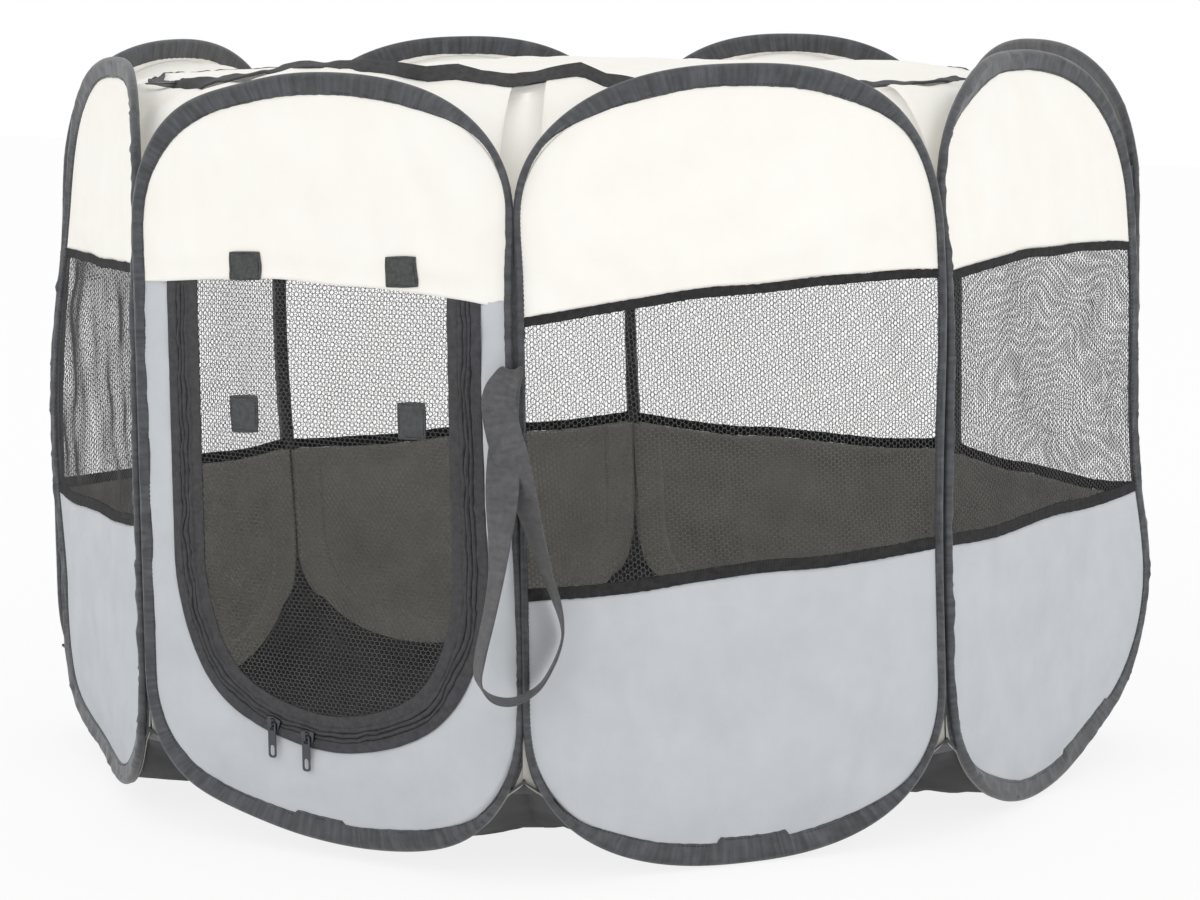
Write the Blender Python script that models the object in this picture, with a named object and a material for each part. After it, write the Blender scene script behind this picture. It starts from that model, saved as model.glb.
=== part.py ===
"""Soft folding pet pen: eight spring-wire hoops in fabric sleeves, hinged into an octagon.

Each wall is a hoop with a cream upper cloth, a net window and a grey lower cloth. The front
wall has a U-shaped zipped door instead of the window. A cream roof with a round zipped lid
and a dark floor close the pen, and a webbing loop hangs from one seam.

The origin is the centre of the floor's underside, +Z is up and the door faces -Y. The walls
fold flat: the ring of hinge axes is an equal-sided octagon whose opposite angles are equal.
"""
import math

import bmesh
import bpy
from mathutils import Matrix, Vector

MM = 0.001

# Driving sizes of the pen
PEN_HEIGHT = 580 * MM
WALL_PITCH = 336 * MM
SHARP_TURN = math.radians(51.7)
CLEARANCE = 0.3 * MM
SHARP_EDGE_ANGLE = math.radians(40)

# The spring-wire hoop and its sleeve
WIRE_RADIUS = 1.5 * MM
SLEEVE_RIM_RADIUS = 3.5 * MM
SLEEVE_WIDTH = 18 * MM
SLEEVE_CLOTH = 0.6 * MM
HOOP_CROWN = 125 * MM
HOOP_SQUARENESS = 2.4
HOOP_LIFT = 0.4 * MM
ARC_STEPS = 10

# The wall cloths and the net window
CLOTH_THICKNESS = 0.8 * MM
CLOTH_TUCK = 8.5 * MM
UPPER_CLOTH_HEIGHT = 160 * MM
WINDOW_BOTTOM = 217 * MM
WINDOW_TOP_BINDING = 7 * MM
WINDOW_BOTTOM_BINDING = 10 * MM
NET_PITCH_WIDE = 75 * MM
NET_PITCH_HIGH = 61 * MM
NET_STRAND = 5 * MM
NET_SCRAP_AREA = 120 * MM * MM

# The door, its zip and its tapes
DOOR_SIDE_MARGIN = 25.2 * MM
DOOR_BOTTOM = 78 * MM
DOOR_FIXED_TAPE = 12 * MM
DOOR_MOVING_TAPE = 20 * MM
DOOR_HINGE_PROUD = 1 * MM
DOOR_NET_FRAME = 4 * MM
ZIP_CHAIN_WIDTH = 3.2 * MM
ZIP_CHAIN_THICKNESS = 2.4 * MM
ZIP_TAPE_THICKNESS = 1.2 * MM
DOOR_ARC_STEPS = 16

# The hook-and-loop tabs that hold the rolled door
TAB_WIDTH = 30 * MM
TAB_HEIGHT = 22 * MM
TAB_RISE = 15 * MM
TAB_SPREAD = 69 * MM
PAD_WIDTH = 25 * MM
PAD_HEIGHT = 27 * MM
PAD_DROP = 94 * MM
PAD_SPREAD = 74 * MM
TAB_THICKNESS = 1.5 * MM

# The zip sliders and their pulls
SLIDER_LENGTH = 12 * MM
SLIDER_WIDTH = 8 * MM
SLIDER_HEIGHT = 2.5 * MM
BRIDGE_SPAN = 6.8 * MM
BRIDGE_BAR = 0.8 * MM
BRIDGE_WIDTH = 1.6 * MM
BRIDGE_ROOM = 2.2 * MM
PULL_LENGTH = 27 * MM
PULL_WIDTH = 7 * MM
PULL_THICKNESS = 1 * MM
PULL_EYE_WIDTH = 3.4 * MM
PULL_EYE_LENGTH = 5 * MM
PULL_END_HOLE = 2.1 * MM
PULL_END_STEPS = 8
PULL_HOLE_STEPS = 10
LEFT_SLIDER_ANGLE = math.radians(-22)
RIGHT_SLIDER_ANGLE = math.radians(-8)

# The roof, its round zip and the floor. The roof's middle lies below the hoops' tops by its sink
ROOF_SINK = 24 * MM
ROOF_ZIP_RADIUS = 345 * MM
ROOF_ZIP_WIDTH = 13 * MM
ROOF_SLIDER_ANGLE = math.radians(-124)
SHEET_THICKNESS = 1 * MM
SHEET_EDGE_STEPS = 6
ROOF_RING_SHARES = (0.0, 0.25, 0.5, 0.75, 1.0)
ROOF_DIP_POWER = 1.8
FLOOR_RING_SHARES = (0.55, 0.66, 0.76, 0.85, 0.93, 1.0)
FLOOR_RISE_POWER = 2.5

# The webbing loop on the front right seam
STRAP_WIDTH = 18 * MM
STRAP_THICKNESS = 1.5 * MM
STRAP_TOP = 365 * MM
STRAP_DROP = 230 * MM
STRAP_REACH = 36 * MM
STRAP_PROUD = 14 * MM
STRAP_SEAT = 7 * MM
# Each point of its route: shares of the reach, the drop and the stand-off, and the degrees by
# which the band's flat turns away from the wall
STRAP_ROUTE_SHARES = (
    (-0.12, 0.02, 0.42, 0),
    (-0.14, 0.08, 0.75, 0),
    (-0.10, 0.22, 0.95, 5),
    (0.10, 0.41, 1.05, 10),
    (0.35, 0.60, 1.05, 20),
    (0.52, 0.78, 0.95, 50),
    (0.45, 0.89, 0.85, 75),
    (0.05, 0.975, 0.75, 86),
    (-0.45, 1.00, 0.70, 90),
    (-1.00, 0.97, 0.70, 88),
    (-1.22, 0.90, 0.70, 70),
    (-1.08, 0.76, 0.65, 40),
    (-0.82, 0.56, 0.55, 15),
    (-0.55, 0.36, 0.42, 5),
    (-0.33, 0.18, 0.22, 0),
    (-0.16, 0.08, 0.0, 0),
    (-0.12, 0.02, 0.0, 0),
    (-0.12, 0.00, 0.2, 0),
)

SOFT_TURN = math.pi / 2 - SHARP_TURN
WALL_NAMES = ("front", "front_right", "right", "back_right", "back", "back_left", "left", "front_left")
# The turn at the seam that ends each wall, counted anticlockwise from above
WALL_END_TURNS = (SHARP_TURN, SOFT_TURN, SHARP_TURN, SOFT_TURN) * 2
# The wall that carries each wall's hinge, and the end of the wall where that hinge is
WALL_PARENTS = {
    "back_right": "back",
    "right": "back_right",
    "front_right": "right",
    "front": "front_right",
    "front_left": "front",
    "back_left": "back",
    "left": "back_left",
}

HINGE_BACK = SLEEVE_RIM_RADIUS + CLEARANCE
HOOP_HALF = WALL_PITCH / 2 - HINGE_BACK
SLEEVE_EDGE = SLEEVE_WIDTH - SLEEVE_RIM_RADIUS
WINDOW_TOP = PEN_HEIGHT - UPPER_CLOTH_HEIGHT
TAB_MIDDLE = WINDOW_TOP + TAB_RISE
PAD_MIDDLE = WINDOW_TOP - PAD_DROP
ROOF_MIDDLE = PEN_HEIGHT - ROOF_SINK
CROWN_CENTRE = PEN_HEIGHT - SLEEVE_RIM_RADIUS - HOOP_CROWN
SOLE_CENTRE = HOOP_LIFT + SLEEVE_RIM_RADIUS + HOOP_CROWN
DOOR_BORDER_OUTER = HOOP_HALF - DOOR_SIDE_MARGIN
DOOR_ZIP_RADIUS = DOOR_BORDER_OUTER - DOOR_FIXED_TAPE
DOOR_BORDER_INNER = DOOR_ZIP_RADIUS - DOOR_MOVING_TAPE
DOOR_ARC_CENTRE = DOOR_BOTTOM + DOOR_BORDER_OUTER


def material(name, colour, roughness, metallic=0.0):
    """One Principled material."""
    made = bpy.data.materials.new(name)
    made.use_nodes = True
    shader = made.node_tree.nodes["Principled BSDF"]
    shader.inputs["Base Color"].default_value = (*colour, 1.0)
    shader.inputs["Roughness"].default_value = roughness
    shader.inputs["Metallic"].default_value = metallic
    made.diffuse_color = (*colour, 1.0)
    return made


def clear_scene():
    for thing in list(bpy.data.objects):
        bpy.data.objects.remove(thing, do_unlink=True)


def link(thing, parent=None):
    bpy.context.scene.collection.objects.link(thing)
    thing.parent = parent
    return thing


def empty(name, parent, place, turn=0.0):
    """A named hinge point that carries the pieces of one moving body."""
    made = bpy.data.objects.new(name, None)
    made.location = place
    made.rotation_euler = (0, 0, turn)
    return link(made, parent)


def solid(name, mesh_builder, finish, parent, place=(0, 0, 0), rotation=(0, 0, 0)):
    """One closed piece from a bmesh, with its faces turned outwards."""
    bmesh.ops.recalc_face_normals(mesh_builder, faces=mesh_builder.faces)
    mesh = bpy.data.meshes.new(name)
    mesh_builder.to_mesh(mesh)
    mesh_builder.free()
    mesh.materials.append(finish)
    mesh.shade_smooth()
    mesh.set_sharp_from_angle(angle=SHARP_EDGE_ANGLE)
    made = bpy.data.objects.new(name, mesh)
    made.location = place
    made.rotation_euler = rotation
    return link(made, parent)


def ring_grid(builder, rings, closed_rings=True):
    """Faces between neighbouring loops of points; the last loop joins the first one."""
    rows = [[builder.verts.new(point) for point in ring] for ring in rings]
    count = len(rows[0])
    pairs = list(zip(rows, rows[1:]))
    if closed_rings:
        pairs.append((rows[-1], rows[0]))
    for low, high in pairs:
        for index in range(count):
            after = (index + 1) % count
            builder.faces.new((low[index], low[after], high[after], high[index]))
    return rows


def flat_faced(builder):
    """A curved sheet's four-sided faces aren't flat, so each is split into two triangles."""
    bmesh.ops.triangulate(builder, faces=list(builder.faces))
    return builder


def slab(loops, thickness, to_space):
    """A flat plate: the first loop is its outline, the others are holes through it."""
    builder = bmesh.new()
    edges = []
    for loop in loops:
        corners = [builder.verts.new(to_space(u, z, thickness / 2)) for u, z in loop]
        for index, corner in enumerate(corners):
            edges.append(builder.edges.new((corner, corners[(index + 1) % len(corners)])))
    bmesh.ops.triangle_fill(builder, edges=edges, use_beauty=True, use_dissolve=False)
    grown = bmesh.ops.extrude_face_region(builder, geom=list(builder.faces))
    shift = Vector(to_space(0, 0, -thickness / 2)) - Vector(to_space(0, 0, thickness / 2))
    moved = [item for item in grown["geom"] if isinstance(item, bmesh.types.BMVert)]
    bmesh.ops.translate(builder, verts=moved, vec=shift)
    return builder


def box(low, high):
    """A block between two opposite corners."""
    builder = bmesh.new()
    size = Vector(high) - Vector(low)
    middle = (Vector(high) + Vector(low)) / 2
    placing = Matrix.Translation(middle) @ Matrix.Diagonal((*size, 1))
    bmesh.ops.create_cube(builder, size=1.0, matrix=placing)
    return builder


def arc(centre, radius_wide, radius_high, start, end, steps):
    """Points on an ellipse from one angle to another, in radians."""
    return [
        (
            centre[0] + radius_wide * math.cos(start + (end - start) * step / steps),
            centre[1] + radius_high * math.sin(start + (end - start) * step / steps),
        )
        for step in range(steps + 1)
    ]


def hoop_arc(height, inset, start, steps):
    """Half of the hoop's curve, drawn in by an inset: squarer at its shoulders than an ellipse."""
    points = []
    for cosine, sine in arc((0, 0), 1, 1, start, start + math.pi, steps):
        across = math.copysign(abs(cosine) ** (2 / HOOP_SQUARENESS), cosine)
        up = math.copysign(abs(sine) ** (2 / HOOP_SQUARENESS), sine)
        points.append((across * (HOOP_HALF - inset), height + up * (HOOP_CROWN - inset)))
    return points


def sole_arc(inset, steps=ARC_STEPS):
    """The hoop's lower curve, drawn in by an inset, from its left end to its right end."""
    return hoop_arc(SOLE_CENTRE, inset, math.pi, steps)


def crown_arc(inset, steps=ARC_STEPS):
    """The hoop's upper curve, drawn in by an inset, from its right end to its left end."""
    return hoop_arc(CROWN_CENTRE, inset, 0, steps)


def wall_point(u, z, out):
    """A place on a wall: u along it, z up and out from the middle of its cloth."""
    return (u, -HINGE_BACK - out, z)


def hoop_sweep(profile):
    """A closed profile of (inset, out) points carried round the hoop."""
    builder = bmesh.new()
    rings = []
    for inset, out in profile:
        path = sole_arc(inset) + crown_arc(inset)
        rings.append([wall_point(u, z, out) for u, z in path])
    ring_grid(builder, rings)
    return builder


def sleeve_edge_proud():
    """How far the sleeve's stitched edge stands out from the middle of the cloth in it."""
    return CLOTH_THICKNESS / 2 + CLEARANCE + SLEEVE_CLOTH


def sleeve_profile():
    """Half of a folded strip: round over the wire, then flat down to its stitched edge."""
    slot = CLOTH_THICKNESS / 2 + CLEARANCE
    room = WIRE_RADIUS + CLEARANCE
    rim = SLEEVE_RIM_RADIUS
    half = [
        (-rim * math.cos(math.radians(45)), rim * math.sin(math.radians(45))),
        (0, rim),
        (SLEEVE_EDGE, sleeve_edge_proud()),
        (SLEEVE_EDGE, slot),
        (0, room),
    ]
    mirrored = [(inset, -out) for inset, out in reversed(half)]
    return [(-rim, 0)] + half + [(-room, 0)] + mirrored


def wire_profile():
    return [(-WIRE_RADIUS, 0), (0, WIRE_RADIUS), (WIRE_RADIUS, 0), (0, -WIRE_RADIUS)]


def upper_cloth_outline():
    half = HOOP_HALF - CLOTH_TUCK
    low = WINDOW_TOP + CLEARANCE / 2
    return [(-half, low), (half, low)] + crown_arc(CLOTH_TUCK)


def lower_cloth_outline():
    half = HOOP_HALF - CLOTH_TUCK
    high = WINDOW_BOTTOM - CLEARANCE / 2
    return sole_arc(CLOTH_TUCK) + [(half, high), (-half, high)]


def door_u(radius, top):
    """The door's outline at one radius: straight sides on a half circle."""
    bottom = arc((0, DOOR_ARC_CENTRE), radius, radius, math.pi, 2 * math.pi, DOOR_ARC_STEPS)
    return [(-radius, top)] + bottom + [(radius, top)]


def surround_outline():
    half = HOOP_HALF - CLOTH_TUCK
    top = WINDOW_TOP - CLEARANCE / 2
    inner = door_u(DOOR_BORDER_OUTER + CLEARANCE, top)
    return sole_arc(CLOTH_TUCK) + [(half, top)] + list(reversed(inner)) + [(-half, top)]


def door_band_outline(outer, inner, top):
    return door_u(outer, top) + list(reversed(door_u(inner, top)))


def clip_line(polygon, start, end):
    """The part of a polygon to the left of the line from start to end."""
    kept = []

    run, climb = end[0] - start[0], end[1] - start[1]

    def side(point):
        return run * (point[1] - start[1]) - climb * (point[0] - start[0])

    for index, point in enumerate(polygon):
        after = polygon[(index + 1) % len(polygon)]
        here, there = side(point), side(after)
        if here >= 0:
            kept.append(point)
        if here * there < 0:
            share = here / (here - there)
            kept.append(tuple(a + (b - a) * share for a, b in zip(point, after)))
    return kept


def polygon_area(polygon):
    pairs = zip(polygon, polygon[1:] + polygon[:1])
    return sum(a[0] * b[1] - b[0] * a[1] for a, b in pairs) / 2


def net_holes(region, first_row=0):
    """Diamond gaps of a net, cut off at the edge of a convex region; every other row is shifted."""
    lows = [min(point[axis] for point in region) for axis in (0, 1)]
    highs = [max(point[axis] for point in region) for axis in (0, 1)]
    middle = [(low + high) / 2 for low, high in zip(lows, highs)]
    columns = math.ceil((highs[0] - lows[0]) / NET_PITCH_WIDE) + 1
    rows = math.ceil((highs[1] - lows[1]) / NET_PITCH_HIGH) + 1
    half_wide = (NET_PITCH_WIDE - NET_STRAND) / 2
    half_high = (NET_PITCH_HIGH - NET_STRAND) / 2
    holes = []
    for row in range(-rows, rows + 1):
        for column in range(-columns, columns + 1):
            u = middle[0] + (column + ((row + first_row) % 2) / 2) * NET_PITCH_WIDE
            z = middle[1] + row * NET_PITCH_HIGH / 2
            hole = [(u + half_wide, z), (u, z + half_high), (u - half_wide, z), (u, z - half_high)]
            for index, start in enumerate(region):
                hole = clip_line(hole, start, region[(index + 1) % len(region)])
                if len(hole) < 3:
                    break
            if len(hole) >= 3 and polygon_area(hole) > NET_SCRAP_AREA:
                holes.append(hole)
    return holes


def window_loops():
    half = HOOP_HALF - CLOTH_TUCK
    net_half = HOOP_HALF - SLEEVE_EDGE - CLEARANCE
    low = WINDOW_BOTTOM + CLEARANCE / 2
    high = WINDOW_TOP - CLEARANCE / 2
    frame = [(-half, low), (half, low), (half, high), (-half, high)]
    net_low = low + WINDOW_BOTTOM_BINDING
    net_high = high - WINDOW_TOP_BINDING
    region = [
        (-net_half, net_low),
        (net_half, net_low),
        (net_half, net_high),
        (-net_half, net_high),
    ]
    return [frame] + net_holes(region)


def door_net_loops():
    """The door's net, with a crossing of its strands behind each pad."""
    top = WINDOW_TOP - CLEARANCE
    outer = door_u(DOOR_BORDER_INNER - CLEARANCE, top)
    region = door_u(DOOR_BORDER_INNER - CLEARANCE - DOOR_NET_FRAME, top - DOOR_NET_FRAME)
    return [outer] + net_holes(region, first_row=1)


def wall_frames():
    """Each wall's middle and heading, from its hinge corners, anticlockwise from the front."""
    corners = [Vector((0, 0))]
    headings = []
    heading = 0.0
    for turn in WALL_END_TURNS:
        headings.append(heading)
        corners.append(corners[-1] + WALL_PITCH * Vector((math.cos(heading), math.sin(heading))))
        heading += turn
    corners = corners[:-1]
    centre = sum(corners, Vector((0, 0))) / len(corners)
    corners = [corner - centre for corner in corners]
    frames = {}
    for index, name in enumerate(WALL_NAMES):
        start = corners[index]
        end = corners[(index + 1) % len(corners)]
        frames[name] = {"start": start, "end": end, "heading": headings[index], "index": index}
    return frames


def hinge_side(name):
    """+1 where the wall hangs on its end corner, -1 where it hangs on its start corner."""
    parent_index = WALL_NAMES.index(WALL_PARENTS[name])
    own_index = WALL_NAMES.index(name)
    return 1 if (own_index + 1) % len(WALL_NAMES) == parent_index else -1


def to_world(frame, u, out):
    """The plan position of a place on a wall."""
    along = Vector((math.cos(frame["heading"]), math.sin(frame["heading"])))
    outward = Vector((along.y, -along.x))
    middle = (frame["start"] + frame["end"]) / 2
    return middle + along * u + outward * (HINGE_BACK + out)


def wall_empties(frames):
    """An empty on each wall's hinge, each under the wall that carries it."""
    made = {}
    back = frames["back"]
    middle = (back["start"] + back["end"]) / 2
    made["back"] = empty("back_body", None, (*middle, 0), back["heading"])
    shifts = {"back": 0.0}
    for name, parent in WALL_PARENTS.items():
        side = hinge_side(name)
        parent_side = -side
        turn = frames[name]["heading"] - frames[parent]["heading"]
        place = (parent_side * WALL_PITCH / 2 + shifts[parent], 0, 0)
        made[name] = empty(name + "_body", made[parent], place, turn)
        shifts[name] = -side * WALL_PITCH / 2
    return made, shifts


def build_wall(name, holder, shift, finishes):
    """The hoop, its sleeve and the wall's cloths."""
    place = (shift, 0, 0)
    solid(name + "_hoop_wire", hoop_sweep(wire_profile()), finishes["steel"], holder, place)
    solid(name + "_hoop_sleeve", hoop_sweep(sleeve_profile()), finishes["sleeve"], holder, place)
    upper = slab([upper_cloth_outline()], CLOTH_THICKNESS, wall_point)
    solid(name + "_upper_cloth", upper, finishes["cream"], holder, place)
    if name == "front":
        surround = slab([surround_outline()], CLOTH_THICKNESS, wall_point)
        solid("front_door_surround", surround, finishes["grey"], holder, place)
        return
    lower = slab([lower_cloth_outline()], CLOTH_THICKNESS, wall_point)
    solid(name + "_lower_cloth", lower, finishes["grey"], holder, place)
    window = slab(window_loops(), CLOTH_THICKNESS, wall_point)
    solid(name + "_window_net", window, finishes["net"], holder, place)


def raised(point_at, lift):
    """The same placing with the plate's middle moved outwards by a lift."""
    return lambda u, z, out: point_at(u, z, out + lift)


def patch_outline(centre, width, height):
    u, z = centre
    return [
        (u - width / 2, z - height / 2),
        (u + width / 2, z - height / 2),
        (u + width / 2, z + height / 2),
        (u - width / 2, z + height / 2),
    ]


def build_door(holder, shift, finishes):
    """The zipped door in the front wall: tapes, chain, net, tabs and pads."""
    place = (shift, 0, 0)
    top = WINDOW_TOP - CLEARANCE / 2
    chain_outer = DOOR_ZIP_RADIUS + ZIP_CHAIN_WIDTH / 2
    chain_inner = DOOR_ZIP_RADIUS - ZIP_CHAIN_WIDTH / 2
    border_band = door_band_outline(DOOR_BORDER_OUTER, chain_outer + CLEARANCE, top)
    border = slab([border_band], ZIP_TAPE_THICKNESS, wall_point)
    solid("door_zip_border", border, finishes["sleeve"], holder, place)
    chain_band = door_band_outline(chain_outer, chain_inner, top)
    chain = slab([chain_band], ZIP_CHAIN_THICKNESS, wall_point)
    solid("door_zip_chain", chain, finishes["zip"], holder, place)
    lifted = raised(wall_point, CLOTH_THICKNESS / 2 + CLEARANCE + TAB_THICKNESS / 2)
    for side, u in (("left", -TAB_SPREAD), ("right", TAB_SPREAD)):
        tab = slab([patch_outline((u, TAB_MIDDLE), TAB_WIDTH, TAB_HEIGHT)], TAB_THICKNESS, lifted)
        solid("door_tab_" + side, tab, finishes["sleeve"], holder, place)

    hinge = (shift, -HINGE_BACK - DOOR_HINGE_PROUD, WINDOW_TOP)
    door = empty("door_body", holder, hinge)
    back_place = (0, HINGE_BACK + DOOR_HINGE_PROUD, -WINDOW_TOP)
    door_top = WINDOW_TOP - CLEARANCE
    tape_band = door_band_outline(chain_inner - CLEARANCE, DOOR_BORDER_INNER, door_top)
    tape = slab([tape_band], ZIP_TAPE_THICKNESS, wall_point)
    solid("door_tape", tape, finishes["sleeve"], door, back_place)
    net = slab(door_net_loops(), CLOTH_THICKNESS, wall_point)
    solid("door_net", net, finishes["net"], door, back_place)
    for side, u in (("left", -PAD_SPREAD), ("right", PAD_SPREAD)):
        pad = slab([patch_outline((u, PAD_MIDDLE), PAD_WIDTH, PAD_HEIGHT)], TAB_THICKNESS, lifted)
        solid("door_pad_" + side, pad, finishes["sleeve"], door, back_place)


def bridge_outline():
    """The slider's bail seen from its side, its feet sunk in the body by one clearance."""
    half = BRIDGE_SPAN / 2
    inner = half - BRIDGE_BAR
    top = BRIDGE_ROOM + BRIDGE_BAR
    foot = -CLEARANCE
    return [
        (-half, foot),
        (-inner, foot),
        (-inner, BRIDGE_ROOM),
        (inner, BRIDGE_ROOM),
        (inner, foot),
        (half, foot),
        (half, top),
        (-half, top),
    ]


def slider_solid(name, finish, holder, place, rotation, body_turn):
    """A zip slider: a low body with a bail along its local Z; its face looks to local -Y."""
    length, width, height = SLIDER_LENGTH, SLIDER_WIDTH, SLIDER_HEIGHT
    body = box((-length / 2, 0, -width / 2), (length / 2, height, width / 2))
    turned = Matrix.Rotation(body_turn, 3, "Y")
    bmesh.ops.rotate(body, verts=body.verts, cent=(0, 0, 0), matrix=turned)
    bridge = slab([bridge_outline()], BRIDGE_WIDTH, lambda along, out, across: (across, -out, along))
    guide = solid(name + "_bail_guide", bridge, finish, holder, place, rotation)
    guide.hide_render = True
    guide.display_type = "WIRE"
    made = solid(name, body, finish, holder, place, rotation)
    union = made.modifiers.new("bail", "BOOLEAN")
    union.operation = "UNION"
    union.object = guide
    return made


def rounded_outline(low, high, half_width):
    """A strip along Z with a round far end, from low to high."""
    end = arc((0, low + half_width), half_width, half_width, math.pi, 2 * math.pi, PULL_END_STEPS)
    return end + [(half_width, high), (-half_width, high)]


def pull_solid(name, finish, holder, place, rotation):
    """A flat pull that hangs along local -Z from an eye round the bail."""
    bar = PULL_THICKNESS
    outline = rounded_outline(bar / 2 - PULL_LENGTH, bar / 2, PULL_WIDTH / 2)
    eye_top = -bar / 2
    eye_low = eye_top - PULL_EYE_LENGTH
    eye_half = PULL_EYE_WIDTH / 2
    eye = [(-eye_half, eye_low), (eye_half, eye_low), (eye_half, eye_top), (-eye_half, eye_top)]
    end_centre = bar / 2 - PULL_LENGTH + PULL_WIDTH / 2
    hole = arc((0, end_centre), PULL_END_HOLE, PULL_END_HOLE, 0, 2 * math.pi, PULL_HOLE_STEPS)[:-1]
    plate = slab([outline, eye, hole], PULL_THICKNESS, lambda u, z, out: (u, -out, z))
    return solid(name, plate, finish, holder, place, rotation)


def door_slider(side, angle, holder, shift, finishes):
    """A slider on the door's zip, turning about the middle of the door's round end."""
    centre = (shift, -HINGE_BACK, DOOR_ARC_CENTRE)
    body = empty("door_slider_" + side + "_body", holder, centre)
    out = ZIP_CHAIN_THICKNESS / 2 + CLEARANCE + SLIDER_HEIGHT
    radius = DOOR_ZIP_RADIUS - ZIP_CHAIN_WIDTH / 2 + SLIDER_WIDTH / 2
    place = (radius * math.sin(angle), -out, -radius * math.cos(angle))
    slider_solid("door_slider_" + side, finishes["metal"], body, place, (0, 0, 0), -angle)
    eye_out = out + BRIDGE_ROOM / 2
    pull_body = empty("door_pull_" + side + "_body", body, (place[0], -eye_out, place[2]))
    pull_solid("door_pull_" + side, finishes["metal"], pull_body, (0, 0, 0), (0, 0, 0))


def sheet_edge(frames, edge_at, out):
    """Plan places and heights along a sheet's edge, wall by wall."""
    places = []
    for name in WALL_NAMES:
        points = edge_at(SLEEVE_EDGE + CLEARANCE, SHEET_EDGE_STEPS)
        if points[0][0] > points[-1][0]:
            points = list(reversed(points))
        for u, z in points:
            plan = to_world(frames[name], u, out)
            places.append((plan.x, plan.y, z))
    return places


def sheet_layers(loops, thickness):
    """A sheet from loops of points, outermost last, with a second skin below the first."""
    builder = bmesh.new()
    drop = Vector((0, 0, -thickness))
    lower = [[Vector(point) + drop for point in loop] for loop in reversed(loops)]
    return builder, loops + lower


def roof_ring(frames, finish, holder, place):
    """The roof outside its round zip, dipping between the hoops."""
    out = -sleeve_edge_proud() - CLEARANCE
    edge = sheet_edge(frames, crown_arc, out)
    inner = ROOF_ZIP_RADIUS + ROOF_ZIP_WIDTH / 2 + CLEARANCE
    loops = []
    for share in ROOF_RING_SHARES:
        loop = []
        for x, y, z in edge:
            plan = Vector((x, y))
            start = plan.normalized() * inner
            spot = start.lerp(plan, share)
            height = ROOF_MIDDLE + (z - ROOF_MIDDLE) * share ** ROOF_DIP_POWER
            loop.append((spot.x, spot.y, height))
        loops.append(loop)
    builder, rings = sheet_layers(loops, SHEET_THICKNESS)
    ring_grid(builder, rings)
    return solid("roof_ring", flat_faced(builder), finish, holder, place[0], place[1])


def floor_sheet(frames, finish, holder, place):
    """The floor: flat in the middle, with gussets that rise between the hoops."""
    out = -sleeve_edge_proud() - CLEARANCE
    edge = sheet_edge(frames, sole_arc, out)
    flat_share = FLOOR_RING_SHARES[0]
    loops = []
    for share in FLOOR_RING_SHARES:
        rise = ((share - flat_share) / (1 - flat_share)) ** FLOOR_RISE_POWER
        loop = []
        for x, y, z in edge:
            loop.append((x * share, y * share, SHEET_THICKNESS + (z - SHEET_THICKNESS) * rise))
        loops.append(loop)
    builder, rings = sheet_layers(loops, SHEET_THICKNESS)
    rows = ring_grid(builder, rings, closed_rings=False)
    builder.faces.new(rows[0])
    builder.faces.new(rows[-1])
    return solid("floor_sheet", flat_faced(builder), finish, holder, place[0], place[1])


def round_plate(inner, outer, thickness, middle, directions):
    """A flat ring, or a disc where its inner radius is zero, with a corner in each direction."""
    builder = bmesh.new()
    low, high = middle - thickness / 2, middle + thickness / 2

    def circle(radius, z):
        return [(radius * direction.x, radius * direction.y, z) for direction in directions]

    if inner > 0:
        loops = [circle(inner, high), circle(outer, high), circle(outer, low), circle(inner, low)]
        ring_grid(builder, loops)
        return builder
    rows = ring_grid(builder, [circle(outer, high), circle(outer, low)], closed_rings=False)
    builder.faces.new(rows[0])
    builder.faces.new(rows[-1])
    return builder


def build_roof(frames, holder, finishes):
    """The cream roof with its round zip, lid, slider and pull."""
    back = frames["back"]
    middle = (back["start"] + back["end"]) / 2
    turn = Matrix.Rotation(-back["heading"], 4, "Z")
    spot = turn @ Vector((-middle.x, -middle.y, 0))
    place = (tuple(spot), (0, 0, -back["heading"]))
    edge = sheet_edge(frames, crown_arc, -sleeve_edge_proud() - CLEARANCE)
    directions = [Vector((x, y)).normalized() for x, y, _ in edge]
    sheet_middle = ROOF_MIDDLE - SHEET_THICKNESS / 2
    roof_ring(frames, finishes["cream"], holder, place)
    floor_sheet(frames, finishes["sleeve"], holder, place)
    inner = ROOF_ZIP_RADIUS - ROOF_ZIP_WIDTH / 2
    outer = ROOF_ZIP_RADIUS + ROOF_ZIP_WIDTH / 2
    zip_ring = round_plate(inner, outer, ZIP_CHAIN_THICKNESS, sheet_middle, directions)
    solid("roof_zip", zip_ring, finishes["zip"], holder, place[0], place[1])
    axis = empty("roof_centre", holder, place[0], place[1][2])
    lid_body = empty("roof_lid_body", axis, (0, 0, 0))
    lid = round_plate(0, inner - CLEARANCE, SHEET_THICKNESS, sheet_middle, directions)
    solid("roof_lid", lid, finishes["cream"], lid_body)

    slider_body = empty("roof_slider_body", axis, (0, 0, 0))
    height = sheet_middle + ZIP_CHAIN_THICKNESS / 2 + CLEARANCE + SLIDER_HEIGHT
    radius = inner + SLIDER_WIDTH / 2
    spot = (radius * math.cos(ROOF_SLIDER_ANGLE), radius * math.sin(ROOF_SLIDER_ANGLE), height)
    flat = (-math.pi / 2, 0, ROOF_SLIDER_ANGLE + math.pi / 2)
    slider_solid("roof_slider", finishes["metal"], slider_body, spot, flat, 0)
    pull_body = empty("roof_pull_body", slider_body, (spot[0], spot[1], height + BRIDGE_ROOM / 2))
    pull_solid("roof_pull", finishes["metal"], pull_body, (0, 0, 0), flat)


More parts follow.
